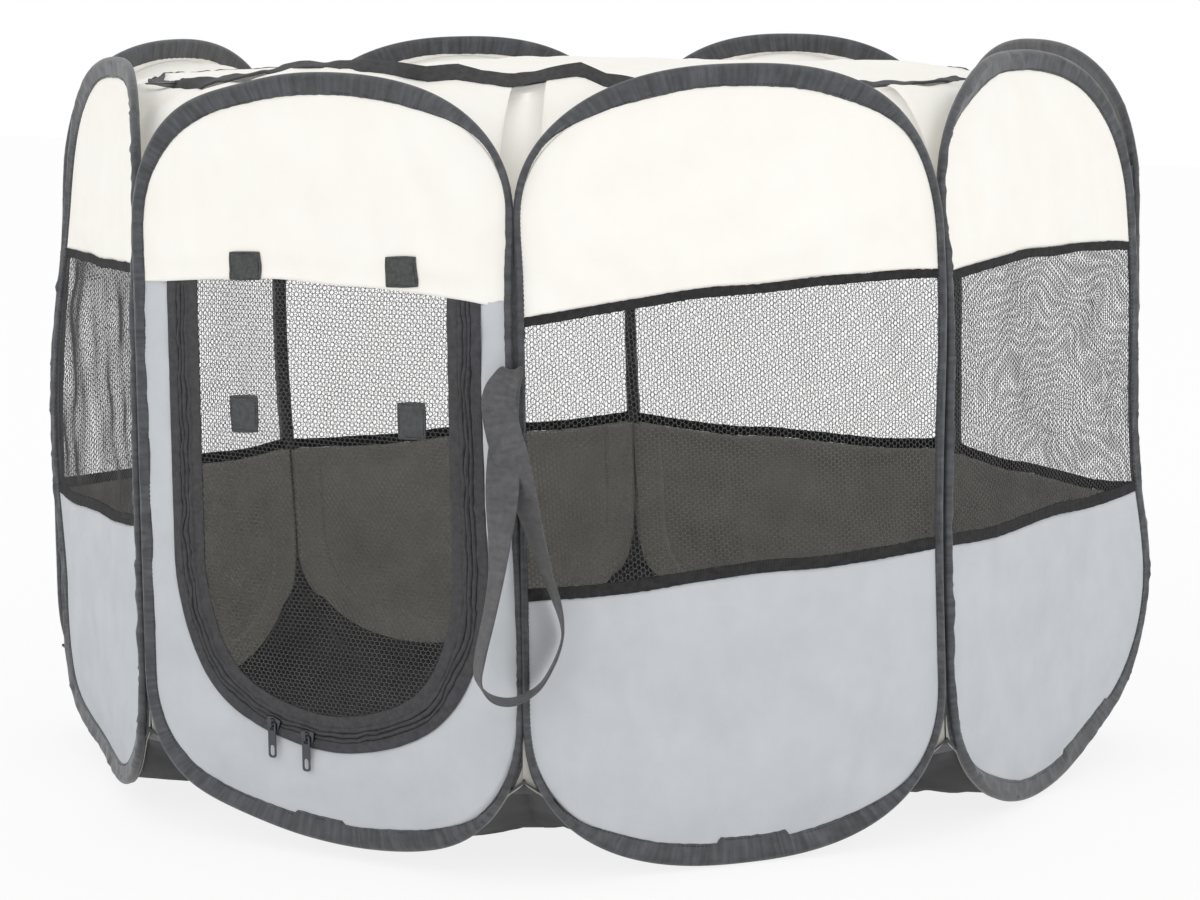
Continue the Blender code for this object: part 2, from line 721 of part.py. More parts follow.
def strap_route():
    """The webbing loop's middle line: u from the seam, height, stand-off and turn.

    It leaves its seat on the sleeve, drops as a front run, swings round its lowest point and
    climbs back behind that run.
    """
    seat = SLEEVE_RIM_RADIUS + CLEARANCE + STRAP_THICKNESS / 2
    points = []
    for along_share, drop_share, proud_share, turn in STRAP_ROUTE_SHARES:
        u = along_share * STRAP_REACH
        z = STRAP_TOP - STRAP_THICKNESS / 2 - drop_share * STRAP_DROP
        points.append((u, z, seat + proud_share * STRAP_PROUD, math.radians(turn)))
    return points


def strap_solid(finish, holder, place):
    """The webbing loop: a flat band carried round its closed route."""
    route = strap_route()
    middles = [Vector(wall_point(u, z, out)) for u, z, out, _ in route]
    rings = []
    for index, (_, _, _, turn) in enumerate(route):
        before = middles[index - 1]
        after = middles[(index + 1) % len(middles)]
        along = (after - before).normalized()
        level = Vector((math.cos(turn), -math.sin(turn), 0))
        across = (level - along * level.dot(along)).normalized()
        wide = across * STRAP_WIDTH / 2
        thick = along.cross(across) * STRAP_THICKNESS / 2
        centre = middles[index]
        near, far = centre - thick, centre + thick
        rings.append([near - wide, near + wide, far + wide, far - wide])
    builder = bmesh.new()
    ring_grid(builder, rings)
    return solid("strap_loop", flat_faced(builder), finish, holder, place)


def build_strap(holder, shift, finishes):
    """The loop hangs from a seat on the front right hoop's sleeve, next to the seam."""
    seam = shift - WALL_PITCH / 2
    axis = empty("strap_body", holder, (seam, -HINGE_BACK - STRAP_SEAT, STRAP_TOP))
    strap_solid(finishes["sleeve"], axis, (0, HINGE_BACK + STRAP_SEAT, -STRAP_TOP))


def build_pen():
    clear_scene()
    finishes = {
        "sleeve": material("sleeve_charcoal", (0.062, 0.066, 0.075), 0.75),
        "cream": material("cream_cloth", (0.86, 0.85, 0.80), 0.8),
        "grey": material("grey_cloth", (0.56, 0.59, 0.62), 0.8),
        "net": material("net_black", (0.03, 0.03, 0.032), 0.7),
        "zip": material("zip_black", (0.02, 0.02, 0.022), 0.5),
        "metal": material("gunmetal", (0.09, 0.09, 0.10), 0.35, 1.0),
        "steel": material("spring_steel", (0.45, 0.45, 0.46), 0.35, 1.0),
    }
    frames = wall_frames()
    holders, shifts = wall_empties(frames)
    for name in WALL_NAMES:
        build_wall(name, holders[name], shifts[name], finishes)
    build_door(holders["front"], shifts["front"], finishes)
    door_slider("left", LEFT_SLIDER_ANGLE, holders["front"], shifts["front"], finishes)
    door_slider("right", RIGHT_SLIDER_ANGLE, holders["front"], shifts["front"], finishes)
    build_roof(frames, holders["back"], finishes)
    build_strap(holders["front_right"], shifts["front_right"], finishes)


build_pen()
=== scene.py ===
# %% [markdown]
# A pop-up pet pen: eight spring-wire hoops in charcoal binding, cream and grey cloth between
# them, fine black net in the windows and in the zipped door, and a slack roof with a round zip.
# Everything soft is one thin sheet or one narrow tape, so the lesson is mostly about sheets:
# a grid of points is laid in the wall's own flat coordinates and then moved out into folds.

# %% Load the frame
import math

import bpy
import numpy as np
from mathutils import Matrix, Vector


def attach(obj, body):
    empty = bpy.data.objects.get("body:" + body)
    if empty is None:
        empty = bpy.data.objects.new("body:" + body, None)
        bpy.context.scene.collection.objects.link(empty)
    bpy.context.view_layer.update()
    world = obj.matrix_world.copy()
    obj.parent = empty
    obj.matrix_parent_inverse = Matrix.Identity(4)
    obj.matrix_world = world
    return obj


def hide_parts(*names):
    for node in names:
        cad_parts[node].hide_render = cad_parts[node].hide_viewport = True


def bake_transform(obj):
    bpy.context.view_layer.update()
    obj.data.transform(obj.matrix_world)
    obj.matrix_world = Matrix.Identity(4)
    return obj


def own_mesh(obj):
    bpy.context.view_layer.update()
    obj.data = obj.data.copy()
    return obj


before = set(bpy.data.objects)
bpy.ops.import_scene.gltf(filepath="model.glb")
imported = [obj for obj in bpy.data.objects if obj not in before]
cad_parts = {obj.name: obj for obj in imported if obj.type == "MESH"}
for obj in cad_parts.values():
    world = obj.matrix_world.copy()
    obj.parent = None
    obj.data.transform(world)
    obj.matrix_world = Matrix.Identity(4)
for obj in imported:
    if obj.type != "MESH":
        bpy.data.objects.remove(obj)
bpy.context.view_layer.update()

# %% [markdown]
# The pen's sizes are the solid model's, with three exceptions: the door is drawn 3 mm further
# right, its own tape is 4 mm narrower, and the webbing is wider and higher. The hoops are also
# bent a little out of true. Each wall is 336 mm from seam to seam, and
# the octagon is a little skewed: its corners turn by 51.7 and 38.3 degrees in turn. A wall's own
# coordinates are u along it, z up and out from the middle of its cloth.

# %% Sizes of the pen
MM = 0.001
PEN_HEIGHT = 580 * MM
WALL_PITCH = 336 * MM
SHARP_TURN = math.radians(51.7)
SOFT_TURN = math.pi / 2 - SHARP_TURN
CLEARANCE = 0.3 * MM
SLEEVE_RIM = 3.5 * MM
SLEEVE_WIDTH = 18 * MM
HOOP_CROWN = 125 * MM
HOOP_SQUARENESS = 2.4
HOOP_LIFT = 0.4 * MM
CLOTH = 0.8 * MM
CLOTH_TUCK = 8.5 * MM
WINDOW_TOP = 420 * MM
WINDOW_BOTTOM = 217 * MM
DOOR_OUTER, DOOR_INNER, DOOR_ZIP = 139 * MM, 111 * MM, 127 * MM
DOOR_BOTTOM = 78 * MM
DOOR_CENTRE = DOOR_BOTTOM + DOOR_OUTER
DOOR_SHIFT = 3 * MM
# The door's tapes and net end under the cream cloth's lower edge
DOOR_TOP = 424 * MM
HINGE_BACK = SLEEVE_RIM + CLEARANCE
HOOP_HALF = WALL_PITCH / 2 - HINGE_BACK
SLEEVE_EDGE = SLEEVE_WIDTH - SLEEVE_RIM
EDGE_PROUD = 1.3 * MM
CROWN_CENTRE = PEN_HEIGHT - SLEEVE_RIM - HOOP_CROWN
SOLE_CENTRE = HOOP_LIFT + SLEEVE_RIM + HOOP_CROWN
WALLS = ("front", "front_right", "right", "back_right", "back", "back_left", "left", "front_left")


def wall_frames():
    """Each wall's middle, direction and outward direction in plan, anticlockwise from the front."""
    corners, headings, heading = [np.zeros(2)], [], 0.0
    for turn in (SHARP_TURN, SOFT_TURN) * 4:
        headings.append(heading)
        corners.append(corners[-1] + WALL_PITCH * np.array([math.cos(heading), math.sin(heading)]))
        heading += turn
    corners = np.array(corners[:-1])
    corners -= corners.mean(axis=0)
    frames = {}
    for index, name in enumerate(WALLS):
        along = np.array([math.cos(headings[index]), math.sin(headings[index])])
        middle = (corners[index] + corners[(index + 1) % len(WALLS)]) / 2
        frames[name] = (middle, along, np.array([along[1], -along[0]]))
    return frames


WALL_FRAMES = wall_frames()


# Where hoops are sprung out of true, in millimetres: a place in u and z, then the shift in u, in
# z and out of the wall there, and how far round that place it reaches in u and in z
SPRUNG = {
    "front": ((-80, 0, 0, 14, 0, 80, 60), (40, 0, 0, 7, 0, 85, 60), (120, 10, 3, -2, 0, 50, 60),
              (135, 530, 3, 3, 0, 60, 70),
              (150, 500, 4, 1, 0, 45, 40), (-72, 580, 0, -6, 0, 50, 60), (20, 580, 0, -3.5, 0, 90, 60),
              (165, 160, 3.5, 0, -4, 45, 120)),
    "front_right": ((-130, 530, -2, 2, 0, 60, 60), (-150, 500, -4, 1, 0, 45, 40),
                    (155, 500, -8, 0, 0, 60, 75), (165, 250, -8, 0, 0, 50, 190)),
    "right": ((0, 620, 0, 0, -35, 170, 150), (105, 0, 0, 17, 0, 85, 60), (-155, 500, -6.3, 0, -5, 60, 75),
              (-165, 250, -6.3, 0, -5, 50, 190), (150, 510, -7, 0, 0, 50, 80),
              (140, 150, 0, 0, 13, 70, 70)),
    "back_right": ((-155, 150, -10, 0, 8, 60, 70), (0, 600, 0, 0, -8, 150, 100)),
    "back": ((168, 330, 7, 0, 0, 50, 120),),
    "back_left": ((-168, 330, 1.5, 0, 2, 50, 120), (168, 330, 11, 0, 0, 60, 170)),
    "left": ((168, 470, -12.6, 0, -9.9, 60, 120), (-168, 330, 8.6, 0, 6.8, 60, 170),
             (0, 600, 0, 6, -9, 120, 90)),
    "front_left": ((0, 620, 0, 0, -32, 170, 170), (-40, 0, 0, 15, -8, 100, 80),
                   (-150, 470, 0, 0, -16, 90, 120), (-150, 130, 0, 0, -7, 60, 90)),
}


def on_wall(wall, u, z, out):
    """World points from a wall's own coordinates."""
    middle, along, outward = WALL_FRAMES[wall]
    u, z, out = (part.copy() for part in np.broadcast_arrays(np.asarray(u, float), z, out))
    flat_u, flat_z = u.copy(), z.copy()
    for pull in SPRUNG.get(wall, ()):
        at_u, at_z, across, up, lean, reach_u, reach_z = (value * MM for value in pull)
        strength = np.exp(-(((flat_u - at_u) / reach_u) ** 2) - ((flat_z - at_z) / reach_z) ** 2)
        u += strength * across
        z += strength * up
        out += strength * lean
    plan = middle + u[..., None] * along + (HINGE_BACK + out)[..., None] * outward
    return np.concatenate([plan, z[..., None]], axis=-1)


print("walls", {name: [round(v, 3) for v in WALL_FRAMES[name][0]] for name in WALLS})

# %% [markdown]
# Cloth is never quite flat. The unevenness could come from a simulation, but a stretched panel
# only shows soft swells and a few creases that start where it is sewn. So it is made from sums
# of long sine waves in many directions, which give the same result on each run, and from single
# creases along a line.

# %% Uneven cloth
def ripple(x, y, seed, size, octaves=3):
    """Soft humps of about that size in metres, from about -1 to 1."""
    draw = np.random.default_rng(seed)
    total = np.zeros(np.broadcast(x, y).shape)
    weight = 0.0
    for octave in range(octaves):
        share = 0.5 ** octave
        for _ in range(6):
            angle, phase = draw.uniform(0, 2 * math.pi, 2)
            wave = 2 * math.pi / size * 2 ** octave * draw.uniform(0.6, 1.4)
            total += share * np.sin(wave * (x * math.cos(angle) + y * math.sin(angle)) + phase)
        weight += share
    return total / weight / 2.4


def crease(x, y, start, end, depth, width):
    """A single fold along the line from start to end, which fades at both ends."""
    run = np.array(end, float) - np.array(start, float)
    length = np.hypot(*run)
    along = ((x - start[0]) * run[0] + (y - start[1]) * run[1]) / length ** 2
    across = ((x - start[0]) * run[1] - (y - start[1]) * run[0]) / length
    fade = np.clip(1 - np.abs(2 * along - 1), 0, 1) ** 0.6
    return depth * fade * np.exp(-((across / width) ** 2))


def eased(value):
    """0 to 1 with soft ends."""
    value = np.clip(value, 0, 1)
    return value * value * (3 - 2 * value)


# %% [markdown]
# Every piece is a mesh of points and faces. The flat coordinates of a cloth, in metres, go into
# its UV map, so that a weave in the material keeps its real size wherever the cloth goes.

# %% Making a piece
def new_piece(name, points, faces, finishes, flat=None, thickness=0.0, inner_slot=0):
    """A mesh object; a sheet gets a thickness, and its inner skin may have a finish of its own."""
    mesh = bpy.data.meshes.new(name)
    mesh.from_pydata(np.asarray(points, float).reshape(-1, 3).tolist(), [], faces)
    for finish in finishes:
        mesh.materials.append(finish)
    mesh.shade_smooth()
    if flat is not None:
        layer = mesh.uv_layers.new(name="cloth_metres")
        corners = np.empty(len(mesh.loops), np.int32)
        mesh.loops.foreach_get("vertex_index", corners)
        layer.data.foreach_set("uv", np.asarray(flat, float).reshape(-1, 2)[corners].ravel())
    made = bpy.data.objects.new(name, mesh)
    bpy.context.scene.collection.objects.link(made)
    if thickness:
        solid = made.modifiers.new("cloth", "SOLIDIFY")
        solid.thickness = thickness
        solid.offset = 0
        solid.material_offset = inner_slot
    return made


def grid_faces(rows, columns, closed_rows=False, closed_columns=False, flip=False):
    """Four-sided faces of a grid of points numbered row by row."""
    faces = []
    for row in range(rows if closed_rows else rows - 1):
        up = (row + 1) % rows
        for column in range(columns if closed_columns else columns - 1):
            right = (column + 1) % columns
            face = (row * columns + column, row * columns + right, up * columns + right,
                    up * columns + column)
            faces.append(face[::-1] if flip else face)
    return faces


def flat_area(u, z):
    """Area of a grid of flat points, in square metres."""
    a = np.stack([u, z], axis=-1)
    first, second = a[1:, 1:] - a[:-1, :-1], a[1:, :-1] - a[:-1, 1:]
    return float(np.abs(first[..., 0] * second[..., 1] - first[..., 1] * second[..., 0]).sum() / 2)


# The cross-section of a woven tape, in shares of its width and thickness
TAPE_SHARES = ((-0.5, 0.0), (-0.49, 0.34), (-0.45, 0.5), (-0.2, 0.5), (0.2, 0.5), (0.45, 0.5),
               (0.49, 0.34), (0.5, 0.0),
               (0.49, -0.34), (0.45, -0.5), (0.2, -0.5), (-0.2, -0.5), (-0.45, -0.5), (-0.49, -0.34))


def tape(name, middles, across, facing, width, thickness, finishes, closed=False):
    """A flat woven tape along a path, with rounded edges and closed ends."""
    middles, across, facing = (np.asarray(a, float) for a in (middles, across, facing))
    width = np.broadcast_to(width, len(middles))[:, None, None]
    thickness = np.broadcast_to(thickness, len(middles))[:, None, None]
    shares = np.array(TAPE_SHARES)
    points = middles[:, None] + across[:, None] * shares[None, :, :1] * width
    points = points + facing[:, None] * shares[None, :, 1:] * thickness
    steps = np.linalg.norm(np.diff(middles, axis=0), axis=1)
    along = np.concatenate([[0], np.cumsum(steps)])
    flat = np.stack(np.broadcast_arrays(along[:, None], shares[None, :, 0] * width[:, :, 0]), axis=-1)
    count = len(shares)
    faces = grid_faces(len(middles), count, closed_rows=closed, closed_columns=True)
    if not closed:
        last = (len(middles) - 1) * count
        faces.append(tuple(range(count))[::-1])
        faces.append(tuple(range(last, last + count)))
    return new_piece(name, points, faces, finishes, flat)


def stitches(name, places, directions, facing, finish, length=2.3 * MM, width=0.55 * MM, rise=0.35 * MM):
    """A row of sewing stitches: one small six-sided bead of thread at each place."""
    places, directions, facing = (np.asarray(a, float) for a in (places, directions, facing))
    directions = directions / np.linalg.norm(directions, axis=1)[:, None]
    sides = np.cross(facing, directions)
    points, faces = [], []
    shape = ((-0.5, 0, 0), (-0.25, -0.5, 0), (-0.25, 0.5, 0), (-0.25, 0, 1), (0.25, -0.5, 0),
             (0.25, 0.5, 0), (0.25, 0, 1), (0.5, 0, 0))
    for run, aside, up in shape:
        points.append(places + directions * run * length + sides * aside * width + facing * up * rise)
    points = np.stack(points, axis=1)
    bead = ((0, 1, 3), (0, 3, 2), (0, 2, 1), (1, 4, 6, 3), (3, 6, 5, 2), (2, 5, 4, 1), (4, 7, 6),
            (6, 7, 5), (5, 7, 4))
    for index in range(len(places)):
        faces += [tuple(corner + 8 * index for corner in face) for face in bead]
    return new_piece(name, points, faces, [finish])


# %% [markdown]
# The finishes come next. All the cloth is woven polyester, so one recipe makes each of them: a
# base colour with a soft mottle, a weave in the bump and a rough surface with a little sheen. The
# binding and the webbing also get painted crease shade: slanting light and dark streaks in the colour.
# The weave's threads are 0.3 mm in the real cloth. That is finer than a pixel here, so it is
# drawn three times as coarse. Colours are sRGB hex values and are turned to linear by one function.

# %% Materials: helpers
THREAD_DRAWN = 0.9 * MM
BAND_WAVE = 2 * math.pi / 20
# Painted crease shade: darker and lighter streaks on the slant, where the binding creases round the wire,
# 4 mm apart, 26 mm long
PAINTED_CREASE_SLANT = math.radians(28)
PAINTED_CREASE_SCALE = (1 / (4 * MM), 1 / (26 * MM), 1)


def linear(code):
    """An sRGB hex colour as linear red, green, blue and alpha."""
    parts = [int(code[i:i + 2], 16) / 255 for i in (1, 3, 5)]
    return [p / 12.92 if p <= 0.04045 else ((p + 0.055) / 1.055) ** 2.4 for p in parts] + [1.0]


def add_node(tree, kind, inputs=None, **settings):
    """Adds a node, sets it and links or sets its inputs."""
    node = tree.nodes.new(kind)
    for name, value in settings.items():
        setattr(node, name, value)
    for socket, value in (inputs or {}).items():
        if isinstance(value, bpy.types.NodeSocket):
            tree.links.new(value, node.inputs[socket])
        else:
            node.inputs[socket].default_value = value
    return node


def new_finish(name, code, roughness, metallic=0.0):
    """An empty finish: its node tree, its surface shader and the material."""
    made = bpy.data.materials.new(name)
    made.use_nodes = True
    tree = made.node_tree
    shader = tree.nodes["Principled BSDF"]
    shader.inputs["Base Color"].default_value = linear(code)
    shader.inputs["Roughness"].default_value = roughness
    shader.inputs["Metallic"].default_value = metallic
    made.diffuse_color = linear(code)
    return made, tree, shader


def woven_cloth(name, code, mottle_code, thread=THREAD_DRAWN, depth=0.12, mottle=40 * MM, roughness=0.85,
                sheen=0.0, specular=0.25, painted_crease_shade=0.0):
    """Plain-woven polyester: crossing threads in the bump, a soft mottle and slanting streaks of painted
    crease shade.
    """
    made, tree, shader = new_finish(name, code, roughness)
    shader.inputs["Specular IOR Level"].default_value = specular
    shader.inputs["Sheen Weight"].default_value = sheen
    place = add_node(tree, "ShaderNodeUVMap", uv_map="cloth_metres").outputs["UV"]
    body = add_node(tree, "ShaderNodeTexCoord").outputs["Object"]
    warp = add_node(tree, "ShaderNodeTexWave", {"Vector": place, "Scale": BAND_WAVE / thread},
                    bands_direction="X")
    weft = add_node(tree, "ShaderNodeTexWave", {"Vector": place, "Scale": BAND_WAVE / thread},
                    bands_direction="Y")
    cross = add_node(tree, "ShaderNodeMath", {0: warp.outputs["Fac"], 1: weft.outputs["Fac"]},
                     operation="MULTIPLY")
    slub = add_node(tree, "ShaderNodeTexNoise", {"Vector": body, "Scale": 1 / (6 * MM), "Detail": 4.0})
    height = add_node(tree, "ShaderNodeMath", {0: cross.outputs[0], 1: slub.outputs["Fac"]},
                      operation="ADD")
    bump = add_node(tree, "ShaderNodeBump", {"Height": height.outputs[0], "Strength": depth,
                                             "Distance": 0.4 * MM})
    tree.links.new(bump.outputs["Normal"], shader.inputs["Normal"])
    cloud = add_node(tree, "ShaderNodeTexNoise",
                     {"Vector": body, "Scale": 1 / mottle, "Detail": 5.0, "Roughness": 0.6})
    ramp = add_node(tree, "ShaderNodeValToRGB", {"Fac": cloud.outputs["Fac"]})
    ramp.color_ramp.elements[0].position = 0.3
    ramp.color_ramp.elements[0].color = linear(mottle_code)
    ramp.color_ramp.elements[1].position = 0.65
    ramp.color_ramp.elements[1].color = linear(code)
    colour = ramp.outputs["Color"]
    # Painted crease shade and highlight: slanting noise darkens and lightens the base colour
    if painted_crease_shade:
        slanted = add_node(tree, "ShaderNodeMapping",
                           {"Vector": place, "Rotation": (0, 0, PAINTED_CREASE_SLANT), "Scale": PAINTED_CREASE_SCALE})
        wear_and_crease_shade = add_node(tree, "ShaderNodeTexNoise",
                        {"Vector": slanted.outputs["Vector"], "Scale": 1.0, "Detail": 3.0})
        shade = add_node(tree, "ShaderNodeMapRange",
                         {"Value": wear_and_crease_shade.outputs["Fac"], "From Min": 0.3, "From Max": 0.7,
                                                      "To Min": 1 - painted_crease_shade, "To Max": 1 + painted_crease_shade})
        colour = add_node(tree, "ShaderNodeVectorMath", {0: colour, "Scale": shade.outputs["Result"]},
                          operation="SCALE").outputs[0]
    tree.links.new(colour, shader.inputs["Base Color"])
    return made


# %% Materials: the pen's own finishes
# Oxford polyester with a cream dye: matt, almost white in studio light
cream = woven_cloth("cream_oxford_polyester", "#fefcf6", "#fcf9f1")
# The same cloth in light grey, which looks a little blue beside the cream
grey = woven_cloth("light_grey_oxford_polyester", "#cacdd1", "#c3c6ca")
# Its inside is coated with a taupe polyurethane film, smoother than the weave
taupe = woven_cloth("taupe_coated_backing", "#b8b5ad", "#aaa79f", depth=0.06, roughness=0.6)
# Folded polyester binding over the wire: a satin charcoal that shines along its bends, with painted crease
# shade and highlight streaked on the slant in its colour
binding = woven_cloth("charcoal_binding_tape", "#484a4e", "#37383c", depth=0.16, mottle=14 * MM,
                      roughness=0.48, sheen=0.2, specular=0.5, painted_crease_shade=0.42)
# The windows' hems are a knitted black tape with a rough edge
hem = woven_cloth("black_knitted_hem_tape", "#363637", "#262627", thread=2.2 * MM, depth=0.7,
                  mottle=5 * MM, roughness=0.9)
# Knitted net of fine black polyester thread
net = woven_cloth("black_knitted_net_thread", "#5c5c5d", "#4e4e50", depth=0.05, roughness=0.7)
# Tape of the zips: a tight black weave with a soft rib
zip_tape = woven_cloth("black_zip_tape", "#464648", "#353537", thread=1.3 * MM, depth=0.5, mottle=4 * MM,
                       roughness=0.65, specular=0.4)
# Coated dark cloth of the floor
floor_cloth = woven_cloth("charcoal_floor_oxford", "#585859", "#4b4b4c", depth=0.15, roughness=0.75)
# Twilled webbing: thick threads that shine a little where it bends, with faint painted crease shade and
# highlight streaked in its colour
webbing = woven_cloth("dark_grey_polyester_webbing", "#575759", "#464648", thread=1.5 * MM, depth=0.6,
                      mottle=5 * MM, roughness=0.55, sheen=0.2, specular=0.45, painted_crease_shade=0.2)
# Hook-and-loop tape: a fuzzy matt pile on the wall, ribbed hooks on the door
pile = woven_cloth("grey_hook_and_loop_pile", "#5b5c5c", "#474848", thread=1.1 * MM, depth=0.6,
                   mottle=3 * MM, roughness=1.0)
hooks = woven_cloth("grey_moulded_hook_tape", "#595a5b", "#474849", thread=1.7 * MM, depth=0.6,
                    mottle=4 * MM)


def speckled(name, code, roughness, metallic, grain, spread, depth=0.1):
    """A smooth finish whose grain shows in its gloss and, a little, in its bump."""
    made, tree, shader = new_finish(name, code, roughness, metallic)
    body = add_node(tree, "ShaderNodeTexCoord").outputs["Object"]
    noise = add_node(tree, "ShaderNodeTexNoise", {"Vector": body, "Scale": 1 / grain, "Detail": 6.0})
    low, high = roughness - spread, roughness + spread
    wear_and_crease_shade = add_node(tree, "ShaderNodeMapRange",
                    {"Value": noise.outputs["Fac"], "To Min": low, "To Max": high})
    tree.links.new(wear_and_crease_shade.outputs["Result"], shader.inputs["Roughness"])
    bump = add_node(tree, "ShaderNodeBump", {"Height": noise.outputs["Fac"], "Strength": depth,
                                             "Distance": 0.2 * MM})
    tree.links.new(bump.outputs["Normal"], shader.inputs["Normal"])
    return made


# Spun polyester sewing thread: dull, with a fine twist
thread = speckled("charcoal_sewing_thread", "#333437", 0.8, 0.0, 0.5 * MM, 0.1, 0.4)
# The zips' coil: moulded nylon, a little glossy
nylon = speckled("black_moulded_nylon_coil", "#2b2b2d", 0.4, 0.0, 1 * MM, 0.12)
# Sliders and pulls: zinc castings with a dark plating, worn brighter in places
gunmetal = speckled("gunmetal_plated_zinc", "#56575b", 0.36, 1.0, 2 * MM, 0.12)
# The hoops' wire: drawn and tempered steel
steel = speckled("tempered_spring_steel", "#8c8d90", 0.35, 1.0, 1.5 * MM, 0.1)
print("finishes", len(bpy.data.materials))

# %% [markdown]
# A hoop is a rounded oblong: half an ellipse below, straight sides and half an ellipse above.
# A point on it is stored as a direction and a height, so that the same point can be found on a
# line drawn further in.

# %% The hoop's line
# The sleeve's width on a wall's left and right sides, as a share of its full width
SIDE_SHARES = {
    "front": (0.5, 0.1), "front_right": (0.1, 0.2), "right": (0.25, 0.5), "back": (0.5, 0.12),
    "back_left": (0.12, 0.1), "left": (0.1, 0.5),
}
CROWN_SHARE = 0.88
# Where a sleeve's end is lapped over its start: u, the lap's length and its extra width in mm
LAPPED_ENDS = {"front_right": ((-22, 60, 4.5),), "right": ((30, 90, 4),), "front": ((-30, 45, 3),)}
CLOTH_SIDE_TUCK = 1.0 * MM


def squarer(value):
    """A cosine or sine pushed outwards, which turns an ellipse into a squarer curve."""
    return np.sign(value) * np.abs(value) ** (2 / HOOP_SQUARENESS)


def hoop_samples(count):
    """Evenly spaced places round the hoop: across, up and the height that they are taken from."""
    fine = 1500
    turn = np.linspace(math.pi, 2 * math.pi, fine, endpoint=False)
    rise = np.linspace(SOLE_CENTRE, CROWN_CENTRE, fine, endpoint=False)
    still = np.zeros(fine)
    cosine = squarer(np.concatenate([np.cos(turn), still + 1, np.cos(turn - math.pi), still - 1]))
    sine = squarer(np.concatenate([np.sin(turn), still, np.sin(turn - math.pi), still]))
    base = np.concatenate([still + SOLE_CENTRE, rise, still + CROWN_CENTRE, rise[::-1]])
    u, z = cosine * HOOP_HALF, base + sine * HOOP_CROWN
    steps = np.hypot(np.diff(u, append=u[0]), np.diff(z, append=z[0]))
    along = np.concatenate([[0], np.cumsum(steps)])
    wanted = np.linspace(0, along[-1], count, endpoint=False)
    nearest = np.searchsorted(along, wanted, side="right") - 1
    return cosine[nearest], sine[nearest], base[nearest], wanted


def hoop_line(wall, samples, inset):
    """The hoop's line drawn in by an inset: u and z. The sleeve is narrower where it is straight."""
    cosine, sine, base, _ = samples
    left, right = SIDE_SHARES.get(wall, (0.5, 0.5))
    side = np.where(cosine < 0, left, right)
    start = np.where(side < 0.4, 0.55, 0.1)
    share = side + (CROWN_SHARE - side) * eased((np.abs(sine) - start) / (0.95 - start))
    for at_u, reach, extra in LAPPED_ENDS.get(wall, ()):
        inside = (cosine * HOOP_HALF > at_u * MM) & (cosine * HOOP_HALF < (at_u + reach) * MM) & (sine < 0)
        share = share + inside * extra / (SLEEVE_EDGE / MM)
    inset = np.where(inset > 0, inset * share, inset)
    return cosine * (HOOP_HALF - inset), base + sine * (HOOP_CROWN - inset)


def hoop_bow(x, high):
    """How high the hoop's end rises at x, a share of its half width."""
    return high * np.clip(1 - np.abs(x) ** HOOP_SQUARENESS, 0, 1) ** (1 / HOOP_SQUARENESS)


# %% [markdown]
# The sleeve is one strip of binding folded over the wire and stitched along its inner edge. Its
# cross-section is a drop: round over the wire, flat at the stitches. It is carried round the
# hoop and puckered, because the strip is cut straight and the hoop isn't.

# %% Hoop sleeves
SLEEVE_STEPS = 640
# Insets and half thicknesses of the drop-shaped cross-section, in millimetres
DROP = ((-3.5, 0.0), (-3.25, 1.4), (-2.4, 2.6), (-1.0, 3.35), (0.6, 3.45), (3.0, 3.0), (6.0, 2.45),
        (9.0, 2.0), (12.0, 1.55), (13.4, 1.25), (14.2, 1.2), (14.5, 0.7))
PUCKER, FOLD = 0.9 * MM, 1.5 * MM
# How much of a pucker shows on the sleeve's inner side
INNER_SHARE = 0.25
WIRE_RADIUS = 1.5 * MM


def build_sleeve(wall, seed):
    """The folded binding round one hoop, with its row of stitches."""
    samples = hoop_samples(SLEEVE_STEPS)
    along = samples[3]
    half = np.array(DROP) * MM
    insets = np.concatenate([half[:, 0], half[1:, 0][::-1]])
    outs = np.concatenate([half[:, 1], -half[1:, 1][::-1]])
    rows = []
    length = along[-1] + along[1]
    for inset, out in zip(insets, outs):
        share = (inset + SLEEVE_RIM) / SLEEVE_WIDTH
        side = 1 if out >= 0 else -1
        puckers = ripple(along, share * 30 * MM + side * 50 * MM, seed, 34 * MM, 3)
        slant = ripple(along + share * 22 * MM, np.zeros_like(along), seed + 1, 60 * MM, 2)
        fold = np.clip(1 - 6 * np.abs(ripple(along, share * 55 * MM + side * 90 * MM, seed + 3, 80 * MM,
                                             2)), 0, 1)
        lift = (puckers * PUCKER + np.abs(slant) * PUCKER + fold * FOLD) * eased(share * 3) * (1.2 - share)
        lift = lift * (1 if side > 0 else INNER_SHARE)
        drift = ripple(along, np.zeros_like(along), seed + 2, 120 * MM, 2) * 0.7 * MM * share
        drift = drift + ripple(along, np.zeros_like(along), seed + 4, 9 * MM, 2) * 0.3 * MM * share
        u, z = hoop_line(wall, samples, inset + drift)
        rows.append(on_wall(wall, u, z, out + side * lift * (abs(out) > 0)))
    flat = [np.stack([along, np.full_like(along, k * 1.6 * MM)], axis=-1) for k in range(len(insets))]
    points = np.stack(rows)
    faces = grid_faces(len(insets), SLEEVE_STEPS, closed_rows=True, closed_columns=True, flip=True)
    sleeve = new_piece(wall + "_binding", points, faces, [binding], np.stack(flat))
    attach(sleeve, wall)
    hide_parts(wall + "_hoop_sleeve")
    pitch = 3.3 * MM
    count = int(length / pitch)
    seam = hoop_samples(count)
    u, z = hoop_line(wall, seam, SLEEVE_EDGE - 1.7 * MM)
    places = on_wall(wall, u, z, 1.5 * MM)
    ahead = np.roll(places, -1, axis=0) - np.roll(places, 1, axis=0)
    outward = np.tile(np.append(WALL_FRAMES[wall][2], 0), (count, 1))
    sewing = stitches(wall + "_binding_stitches", places, ahead, outward, thread)
    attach(sewing, wall)
    return sleeve


for number, wall in enumerate(WALLS):
    build_sleeve(wall, 100 + 10 * number)


